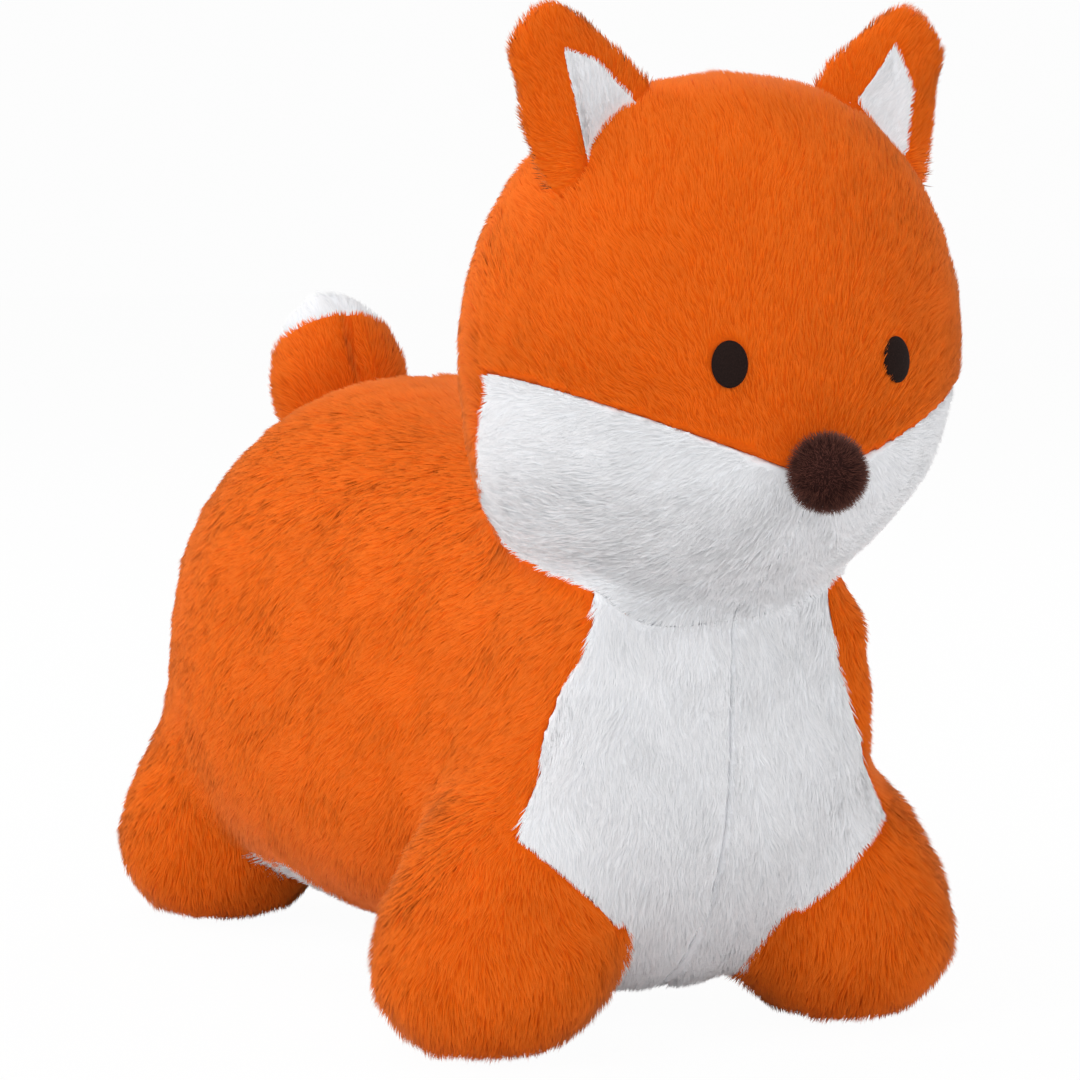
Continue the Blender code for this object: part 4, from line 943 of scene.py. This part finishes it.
def comb_of(panel, roots):
    """The way that the pile leans, before it is laid on the surface."""
    x, y, z = roots.T
    side = np.tanh(x / 0.02)
    kind = kind_of(panel)
    if panel == "head_back":
        back = np.clip((y - RING_Y) / CROWN_TURN, 0, 1)
        return stack(x / 0.30 + 0.20 * side * back, 0.45 + 0.25 * back, 1.0 - 2.0 * back)
    if kind == "forehead":
        return stack(x / 0.30, 0.45, 1.0)
    if kind == "cheek":
        out = np.tanh(x / 0.060)
        at_mask = 0.6 * np.exp(-((mask_height(roots) - z) / 0.007) ** 2)
        return stack(out * 1.1, 0.30 * np.abs(out), at_mask - 0.40 - 1.2 * (1 - np.abs(out)) ** 2)
    if kind == "chest":
        parting = 0.40 * np.exp(-(x / 0.0030) ** 2)
        return stack((0.06 + parting) * np.sign(x), -0.1, -1.0)
    if kind == "belly":
        return stack(0.3 * side, 1.0, 0.0)
    if kind in LEGS:
        leg_x, leg_y, radius = LEGS[kind][:3]
        out_x = (x - side * leg_x) / radius
        out_y = (y - leg_y) / radius
        return stack(0.50 * out_x, 0.50 * out_y + 0.10, -1.0)
    return stack(0.05 * side, 0.62, -1.0)


def over_edge(panel, tips):
    """Above zero where a tip of this panel's pile would lie too far over a seam."""
    x, y, z = np.abs(tips[:, 0]), tips[:, 1], tips[:, 2]
    kind = kind_of(panel)
    mask = z - mask_height(tips)
    chest = x - chest_width(tips)
    if kind == "forehead":
        return np.maximum(-mask - SEAM_OVERLAP, 1.0 - eye_number(tips, 0.42, 0.43))
    if kind == "cheek":
        behind = y - step_between(z, ((CHEEK_REAR_Z, CHEEK_REAR_Y), (RING_Z, RING_Y)))
        result = np.maximum(mask + 0.0012, behind) - SEAM_OVERLAP
        low = np.flatnonzero((z < HEAD_BOTTOM_Z + 0.06) & (x > 0.045))
        neck = head_number(tips[low], *(depth_in(form_trees[form], tips[low]) for form in ("head", "body")))
        result[low] = np.maximum(result[low], neck - SEAM_OVERLAP)
        return result
    if kind == "chest":
        own = 1 if panel.endswith("left") else -1
        result = np.maximum(chest - SEAM_OVERLAP, 0.0003 - own * tips[:, 0])
        low = np.flatnonzero(z < 0.12)
        leg = depth_in(form_trees["front_leg_" + panel.split("_")[1]], tips[low])
        leg = leg_number(tips[low], leg - depth_in(form_trees["body"], tips[low]))
        result[low] = np.maximum(result[low], -leg - SEAM_OVERLAP)
        return result
    if kind == "side":
        return np.where(y < CHEST_REAR_Y, -chest - SEAM_OVERLAP, -1.0)
    if kind == "front":
        near = np.flatnonzero((chest < 0.004) & (y < CHEST_REAR_Y + 0.05))
        result = -np.ones(len(tips))
        if len(near):
            own = np.minimum(depth_in(form_trees["front_leg_right"], tips[near]),
                             depth_in(form_trees["front_leg_left"], tips[near]))
            result[near] = own - depth_in(form_trees["body"], tips[near]) - 0.004
        return result
    return -np.ones(len(tips))


# Spacing, length, width and lift in radians of each panel's strands.
COATS = {
    "forehead": (0.00112, 0.0078, 0.00096, 0.34),
    "cheek": (0.00112, 0.0072, 0.00096, 0.32),
    "head": (0.00140, 0.0085, 0.00120, 0.34),
    "side": (0.00130, 0.0092, 0.00112, 0.32),
    "chest": (0.00115, 0.0088, 0.00100, 0.33),
    "belly": (0.00220, 0.0090, 0.00170, 0.34),
    "front": (0.00125, 0.0108, 0.00108, 0.46),
    "hind": (0.00140, 0.0100, 0.00120, 0.36),
}
COAT_SCALE = 1.0
WIDTH_SCALE = COAT_SCALE ** 0.7
SEAM_PARTING = 0.0007
NOSE_BARE = 0.009
ZIP_BARE_WIDTH, ZIP_BARE_FROM, ZIP_BARE_TO = 0.0125, BODY_FRONT_Y + 0.138, BODY_FRONT_Y + 0.388


def has_pile(kind, roots):
    """No pile grows under the eyes and the nose, over the zip or in the chest's seam."""
    x, y, z = np.abs(roots[:, 0]), roots[:, 1], roots[:, 2]
    keep = np.ones(len(roots), bool)
    if kind == "chest":
        keep = x > SEAM_PARTING
    if kind == "belly":
        keep = (x > ZIP_BARE_WIDTH) | (y < ZIP_BARE_FROM) | (y > ZIP_BARE_TO)
    if kind == "forehead":
        keep = eye_number(roots, 0.46, 0.46) > 1
    if kind in ("forehead", "cheek"):
        keep &= np.hypot(x, z - NOSE_Z) > NOSE_BARE
    return keep


for seed, (panel, faces) in enumerate(panels.items()):
    spacing, length, width, lift = COATS[kind_of(panel)]
    roots, facing = scatter(dipped, skin_normals, faces, spacing * COAT_SCALE, 100 + seed)
    keep = has_pile(kind_of(panel), roots)
    roots, facing = roots[keep], facing[keep]
    strands = lay_strands(roots, facing, comb_of(panel, roots), length, width * WIDTH_SCALE, lift,
                          1000 + 20 * seed, partial(over_edge, panel))
    add_pile(panel + "_pile", strands, slot_of(panel), "stuffed_body")

# %% [markdown]
# ## The ears
# Each ear is a flat stuffed pouch, pinched along its rim, that stands on the side of
# the head. Its front holds a white triangle that is set in a little. The outline is
# the one of the toy's construction, read at many more points, and the root runs on
# into the head so that no gap opens when the ear bends. Low down it cups forward.

# %% Draw the ears
EAR_Y = BODY_FRONT_Y + 0.0155
EAR_TIP = (0.09225, 0.5028)
EAR_OUTER = (0.11375, 0.4128)
EAR_BASE_HIGH_Z = 0.4623
EAR_HALF_THICKNESS = 0.0135
EAR_ROOT_TUCK = 0.010
EAR_ROOT_STEPS = 6
EAR_ROOT_THINNING = 0.40
EAR_TAPER_LENGTH = 0.022
EAR_EDGE = ((-0.070, 0.28), (-0.030, 0.55), (0.005, 0.79))
EAR_CROWN = ((0.139, -0.062), (0.0, 0.0), (-0.147, -0.050), (-0.345, -0.210), (-0.495, -0.350))
EAR_WHITES = {
    "right": ((0.0907, 0.4807), (0.0745, 0.4755), (0.0485, 0.4520), (0.0817, 0.4250)),
    "left": ((0.0834, 0.4840), (0.0625, 0.4572), (0.0859, 0.4310), (0.0911, 0.4633)),
}
EAR_HOLLOW = 0.0020
EAR_LEAN = {"right": 0.0155, "left": 0.0115}
# The part of the ear that leans: from this height down, and in from this far out.
EAR_LEAN_TOP_Z, EAR_LEAN_DROP = 0.478, 0.050
EAR_RIM_X, EAR_LEAN_WIDTH = 0.111, 0.024
EAR_SEGMENTS = 96


def surface_arrays(thing):
    """The points, normals and triangles of an object as arrays."""
    mesh = thing.data
    mesh.calc_loop_triangles()
    normals = np.array([vert.normal[:] for vert in mesh.vertices])
    faces = np.array([triangle.vertices[:] for triangle in mesh.loop_triangles])
    return vertex_array(mesh), normals, faces


def closed_curve(points, steps):
    """A smooth closed curve through the points."""
    count = len(points)
    curve = []
    for index in range(count):
        before, one, two, after = (points[(index + shift) % count] for shift in (-1, 0, 1, 2))
        for step in range(steps):
            t = step / steps
            bend = (2 * before - 5 * one + 4 * two - after) * t ** 2
            twist = (3 * one - before - 3 * two + after) * t ** 3
            curve.append(0.5 * (2 * one + (two - before) * t + bend + twist))
    return np.array(curve)


def ear_root():
    """The line where the ear meets the head, seen from the front, and its middle."""
    places = []
    for step in range(EAR_ROOT_STEPS + 1):
        z = EAR_BASE_HIGH_Z + (EAR_OUTER[1] - EAR_BASE_HIGH_Z) * step / EAR_ROOT_STEPS
        place = form_trees["head"].ray_cast(Vector((1, EAR_Y, z)), Vector((-1, 0, 0)))[0]
        places.append((place.x, z))
    return np.array(places)


def white_number(points, side_name):
    """How far outside the ear's white patch a point lies, seen from the front."""
    x, z = np.abs(points[:, 0]), points[:, 2]
    corners = [np.array(corner) for corner in EAR_WHITES[side_name]]
    result = np.full(len(points), -1.0)
    for one, two in zip(corners, corners[1:] + corners[:1]):
        run = (two - one) / np.linalg.norm(two - one)
        result = np.maximum(result, (x - one[0]) * run[1] - (z - one[1]) * run[0])
    return result


def ear_lean(points, side_name):
    """How far the ear comes forward towards its root, where it cups round the head."""
    low = np.clip((EAR_LEAN_TOP_Z - points[:, 2]) / EAR_LEAN_DROP, 0, 1.2)
    inner = np.clip((EAR_RIM_X - np.abs(points[:, 0])) / EAR_LEAN_WIDTH, 0, 1)
    return EAR_LEAN[side_name] * low ** 1.5 * inner


def ear_form(side_name, side, inset):
    root = ear_root()
    hinge = root[EAR_ROOT_STEPS // 2]
    chord = root[-1] - root[0]
    away = np.array((-chord[1], chord[0])) / np.linalg.norm(chord)
    height = EAR_TIP[1] - EAR_OUTER[1]
    rim = [np.array(EAR_OUTER) + height * np.array(share) for share in EAR_EDGE]
    rim += [np.array(EAR_TIP) + height * np.array(share) for share in EAR_CROWN]
    outline = np.array([*(root - away * EAR_ROOT_TUCK), *rim])
    middle = outline.mean(axis=0)
    curve = closed_curve(outline, 12) - middle
    angles = np.arctan2(curve[:, 1], curve[:, 0])
    order = np.argsort(angles)
    reaches = np.linalg.norm(curve, axis=1)[order]
    angles = angles[order]
    form = add_ball("ear_form_" + side_name, EAR_SEGMENTS, EAR_SEGMENTS // 2, 1)
    sphere = vertex_array(form.data)
    share = np.hypot(sphere[:, 0], sphere[:, 1])
    angle = np.arctan2(sphere[:, 1], sphere[:, 0])
    reach = (np.interp(angle, angles, reaches, period=math.tau) - inset) * share
    flat = middle + np.stack([np.cos(angle), np.sin(angle)], axis=1) * reach[:, None]
    rise = np.clip((flat - hinge) @ away / EAR_TAPER_LENGTH, 0, 1)
    fullness = EAR_ROOT_THINNING + (1 - EAR_ROOT_THINNING) * rise
    y = EAR_Y + sphere[:, 2] * (EAR_HALF_THICKNESS * fullness - inset * rise)
    placed = np.stack([side * flat[:, 0], y, flat[:, 1]], axis=1)
    inside = np.clip(-white_number(placed, side_name) / 0.007, 0, 1) * (sphere[:, 2] < 0)
    placed[:, 1] += EAR_HOLLOW * inside * inside * (3 - 2 * inside)
    placed[:, 1] -= ear_lean(placed, side_name)
    form.data.vertices.foreach_set("co", placed.astype(np.float32).ravel())
    edit_all(form, FACE_OUT)
    start = Vector((side * (hinge[0] - away[0] * 0.004), EAR_Y, hinge[1] - away[1] * 0.004))
    end = Vector((side * (hinge[0] + away[0] * 0.014), EAR_Y, hinge[1] + away[1] * 0.014))
    return form, start, end


def two_panels(form, number):
    """Cut a form along one seam: points, normals, the faces inside and outside."""
    points, normals, halves = cut_panels(
        form, {"rim": number(vertex_array(form.data))},
        lambda vert, name, layers: vert[layers[name]], lambda value, middle: value["rim"] < 0,
    )
    return points, normals, halves[True], halves[False]


EAR_FILLING_INSET = 0.0046
EAR_COAT = (0.00115, 0.0066, 0.00096, 0.36)
LINING_COAT = (0.00105, 0.0050, 0.00090, 0.40)
for seed, (side_name, side) in enumerate(SIDES):
    form, start, end = ear_form(side_name, side, PILE_ROOM)
    stuffing, _, _ = ear_form(side_name, side, EAR_FILLING_INSET)
    stuffing.name = f"ear_filling_{side_name}_fibre"
    stuffing.data.materials.append(FIBRE)
    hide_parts("ear_filling_" + side_name)
    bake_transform(stuffing)

    def lining_number(points):
        front = points[:, 1] + ear_lean(points, side_name) < EAR_Y
        return np.where(front, white_number(points, side_name), 0.02)

    points, normals, lining, cover = two_panels(form, lining_number)
    parts = [("ear_cover_", cover, "orange_plush", EAR_COAT, 1.0),
             ("ear_lining_", lining, "white_plush", LINING_COAT, -1.0)]
    away = unit(np.array(end - start)[None])
    for number, (name, faces, slot, coat, sign) in enumerate(parts):
        skin = sew(f"{name}{side_name}_skin", points, faces, slot, THIN_CLOTH)
        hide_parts(name + side_name)
        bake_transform(skin)
        spacing, length, width, lift = coat
        roots, facing = scatter(points, normals, faces, spacing * COAT_SCALE, 300 + 10 * seed + number)
        keep = depth_in(form_trees["head"], roots) > 0.0015
        keep &= (sign > 0) | (white_number(roots, side_name) < 0)
        roots, facing = roots[keep], facing[keep]
        fan = unit(roots - np.array(start)) * 0.6 + away * 0.6 + facing * 0.05

        def trim(tips, sign=sign):
            front = tips[:, 1] + ear_lean(tips, side_name) < EAR_Y
            return np.where(front, -sign * white_number(tips, side_name) - 0.0016, -1.0)

        strands = lay_strands(roots, facing, fan, length, width * WIDTH_SCALE, lift,
                              2000 + 100 * seed + 20 * number, trim)
        for pile in add_pile(f"{name}{side_name}_pile", strands, slot, None):
            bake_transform(pile)

# %% [markdown]
# ## The tail
# A stuffed stub with a round root that sits in the body's seam. Its front seam pulls a
# crease into the sleeve, and a white cap closes it along a slanting seam.

# %% Draw the tail
TAIL_PIVOT = Vector(JOINTS["tail_wag"]["pos_m"])
TAIL_BALL_RADIUS = 0.034
TAIL_LENGTH = 0.0855
TAIL_WIDTH = 0.081
TAIL_PUFF = 0.0045
TAIL_LEAN = math.radians(23)
TAIL_TIP_SHARE = 0.70
TAIL_TIP_TILT = math.radians(14)
TAIL_BALL_PROFILE = ((-1.00, 0.00), (-0.94, 0.34), (-0.70, 0.714), (-0.35, 0.937), (0.00, 1.00))
TAIL_PROFILE = ((0.38, 1.00), (0.70, 0.84), (0.93, 0.42), (1.00, 0.00))
CREASE_DEPTH, CREASE_WIDTH = 0.0065, 0.0040
TAIL_FILLING_INSET = 0.0050
TAIL_STRAND_WIDTH, TAIL_LIFT = 0.00135, 0.38
tail_spine = Vector((0, math.sin(TAIL_LEAN), math.cos(TAIL_LEAN)))
tail_back = Vector((0, math.cos(TAIL_LEAN), -math.sin(TAIL_LEAN)))
cap_way = np.array(tail_back * math.sin(TAIL_TIP_TILT) + tail_spine * math.cos(TAIL_TIP_TILT))
cap_middle = np.array(TAIL_PIVOT + tail_spine * TAIL_LENGTH * TAIL_TIP_SHARE)


def press_crease(place):
    """The seam along the tail's front pulls a soft crease into it."""
    from_pivot = place - TAIL_PIVOT
    along = from_pivot.dot(tail_spine) / TAIL_LENGTH
    place += tail_spine * TAIL_PUFF * max(0.0, along) ** 2
    if from_pivot.dot(tail_back) < 0:
        depth = math.exp(-((along - 0.45) / 0.26) ** 2) * math.exp(-(place.x / CREASE_WIDTH) ** 2)
        place += tail_back * (CREASE_DEPTH * depth)


def cap_number(points):
    return -((points - cap_middle) @ cap_way)


rows = [(along * TAIL_BALL_RADIUS, size * TAIL_BALL_RADIUS) for along, size in TAIL_BALL_PROFILE]
rows += [(along * TAIL_LENGTH, size * TAIL_WIDTH / 2) for along, size in TAIL_PROFILE]
stations = [(*(TAIL_PIVOT + tail_spine * along), size, size) for along, size in rows]
form = soft_form("tail_form", stations, tail_back, PILE_ROOM, reshape=press_crease, around=128, along=80)
points, normals, cap, sleeve = two_panels(form, cap_number)
stuffing = soft_form("tail_filling_fibre", stations, tail_back, TAIL_FILLING_INSET, reshape=press_crease)
stuffing.data.materials.append(FIBRE)
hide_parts("tail_filling")
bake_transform(stuffing)
TAIL_COATS = (("tail_sleeve", sleeve, "orange_plush", 0.00160, 0.0095, 1.0),
              ("tail_tip", cap, "white_plush", 0.00155, 0.0085, -1.0))
for number, (name, faces, slot, spacing, length, sign) in enumerate(TAIL_COATS):
    skin = sew(name + "_skin", points, faces, slot, THIN_CLOTH)
    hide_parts(name)
    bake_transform(skin)
    roots, facing = scatter(points, normals, faces, spacing * COAT_SCALE, 400 + number)
    behind = (roots - np.array(TAIL_PIVOT)) @ np.array(tail_back) > 0
    keep = (depth_in(form_trees["body"], roots) > -0.002) & (behind | (np.abs(roots[:, 0]) > 0.0012))
    roots, facing = roots[keep], facing[keep]
    side = np.tanh(roots[:, 0] / 0.01)
    on_front = ((roots - np.array(TAIL_PIVOT)) @ np.array(tail_back)) < 0
    parting = stack((0.10 + 0.9 * np.exp(-(roots[:, 0] / 0.006) ** 2)) * side * on_front, 0, 0)
    comb = np.array(tail_spine + tail_back * 0.45) + parting

    def trim(tips, sign=sign):
        return -sign * cap_number(tips) - 0.0020

    strands = lay_strands(roots, facing, comb, length, TAIL_STRAND_WIDTH * WIDTH_SCALE, TAIL_LIFT,
                          2500 + 40 * number, trim)
    for pile in add_pile(name + "_pile", strands, slot, None):
        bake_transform(pile)

# %% [markdown]
# ## Nose and eyes
# The nose is a stuffed ball of short dark plush whose fibres stand straight out, like a
# pompom. The eyes are flat ovals of dark felt, sewn down in the pile of the face.

# %% Make the nose
NOSE_RADIUS, NOSE_SINK = 0.0180, 0.0105
NOSE_CORE_RADIUS = 0.0152
NOSE_SPACING, NOSE_LENGTH, NOSE_STRAND_WIDTH, NOSE_LIFT = 0.00072, 0.0050, 0.00052, 1.05
full_head = head_form(0.0)
full_head_tree = surface_tree(full_head)
bpy.data.objects.remove(full_head)


def on_face(x, z):
    """The place and the facing of the face at a height, seen from the front."""
    place, facing, _, _ = full_head_tree.ray_cast(Vector((x, -1, z)), Vector((0, 1, 0)))
    return place, facing


nose_place = on_face(0, NOSE_Z)[0] - Vector((0, NOSE_RADIUS - NOSE_SINK, 0))
nose = add_ball("nose_core", 48, 32, NOSE_CORE_RADIUS, nose_place)
bpy.ops.object.transform_apply(location=True, rotation=True, scale=True)
bpy.ops.object.shade_smooth()
nose.data.materials.append(CLOTHS["brown_plush"])
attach(nose, "stuffed_body")
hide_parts("nose_ball")
points, normals, faces = surface_arrays(nose)
roots, facing = scatter(points, normals, faces, NOSE_SPACING * COAT_SCALE, 500)
keep = depth_in(full_head_tree, roots) > 0.0
roots, facing = roots[keep], facing[keep]
swirl = np.random.default_rng(501).normal(size=roots.shape)
strands = lay_strands(roots, facing, swirl, NOSE_LENGTH, NOSE_STRAND_WIDTH * WIDTH_SCALE, NOSE_LIFT,
                      2700, stray=0.5, pull=0.12)
add_pile("nose_pile", strands, "brown_plush", "stuffed_body")

# %% Make the eyes
FELT_FIBRES_PER_M = 1600.0
# Pressed wool felt, dyed dark brown: matt, with fine crossing fibres.
felt, felt_shader = new_material("dark_felt", Roughness=0.95, Specular_IOR_Level=0.1)
place = add_node(felt, "TexCoord")
fibres = add_node(felt, "TexNoise", [("Vector", place, "Object")], in_Scale=FELT_FIBRES_PER_M, in_Detail=3.0)
shade = add_node(felt, "Mix", [("Factor", fibres, "Fac")], data_type="RGBA",
                 in_6=linear("0E0908"), in_7=linear("2E201D"))
feed(felt, shade, "Result", felt_shader, "Base Color")
bump = add_node(felt, "Bump", [("Height", fibres, "Fac")], in_Strength=0.6, in_Distance=0.0003)
feed(felt, bump, "Normal", felt_shader, "Normal")

for side_name, side in SIDES:
    place, facing = on_face(side * EYE_X, EYE_Z)
    across = Vector((0, 0, 1)).cross(facing).normalized()
    up = facing.cross(across)
    eye = add_ball(f"eye_{side_name}_felt", 64, 48, 0.5)
    turn = Matrix((across, up, facing)).transposed().to_4x4()
    size = Matrix.Diagonal((EYE_WIDTH, EYE_HEIGHT, EYE_DEPTH, 1))
    eye.data.transform(Matrix.Translation(place - facing * EYE_SINK) @ turn @ size)
    bpy.ops.object.shade_smooth()
    eye.data.materials.append(felt)
    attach(eye, "stuffed_body")
    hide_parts("eye_" + side_name)
print("nose at", [round(value, 4) for value in nose_place])

# %% [markdown]
# ## What the cover hides
# The bladder, its valve and the zip keep their shapes from the construction and are
# given their real finishes.

# %% Finish the inner pieces
BLADDER_INSET = 0.0073

# Calendered PVC film, welded: smooth and a little glossy.
pvc = plain_material("bladder_pvc", "C9CDD2", 0.32, Coat_Weight=0.2)
# Moulded soft PVC: clear-white and satin.
valve = plain_material("valve_pvc", "DDE3E8", 0.38)
# Woven polyester tape, dyed to the belly's white.
tape, tape_shader = new_material("zip_tape", Roughness=0.85)
place = add_node(tape, "TexCoord")
weft = add_node(tape, "TexWave", [("Vector", place, "Object")], bands_direction="Y", in_Scale=400.0)
weave = add_node(tape, "Mix", [("Factor", weft, "Fac")], data_type="RGBA",
                 in_6=linear("B9BAB8"), in_7=linear("E4E4E1"))
feed(tape, weave, "Result", tape_shader, "Base Color")
# Acetal teeth: hard, white and satin.
teeth = plain_material("zip_plastic", "E6E6E3", 0.35)
# Zinc die casting, plated and tumbled: grey with dull gloss.
metal = plain_material("zip_metal", "B4B6B8", 0.30, Metallic=1.0)
# The bladder's own shape, merged to one mesh and flattened behind the chest.
bladder_mesh = frame["nodes"]["bladder"].data.copy()
bladder_mesh.name = "bladder_film"
bladder = add_object("bladder_film", bladder_mesh)
edit_all(bladder, (bpy.ops.mesh.remove_doubles, {"threshold": 1e-6}))
for vert in bladder_mesh.vertices:
    beyond = vert.co.y - (CHEST_FLAT_Y + BLADDER_INSET)
    if beyond < 0:
        vert.co.y -= beyond * (1 - CHEST_FLAT_SHARE)
bladder_mesh.materials.clear()
bladder_mesh.materials.append(pvc)
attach(bladder, "stuffed_body")
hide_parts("bladder")
INNER = {
    "valve_seat": valve, "valve_plug": valve,
    "zip_tape_right": tape, "zip_tape_left": tape, "zip_teeth_right": teeth, "zip_teeth_left": teeth,
    "zip_stop_front": metal, "zip_stop_rear": metal, "zip_slider": metal, "zip_pull": metal,
}
for node, material in INNER.items():
    mesh = frame["nodes"][node].data
    mesh.materials.clear()
    mesh.materials.append(material)
replaced = {"bladder", "tail_sleeve", "tail_tip", "tail_filling", "nose_ball", *panels}
PAIRED = ("ear_cover", "ear_lining", "ear_filling", "eye")
replaced |= {f"{kind}_{side_name}" for kind in PAIRED for side_name, _ in SIDES}
print("nodes without a finish:", sorted(set(frame["nodes"]) - set(INNER) - replaced))
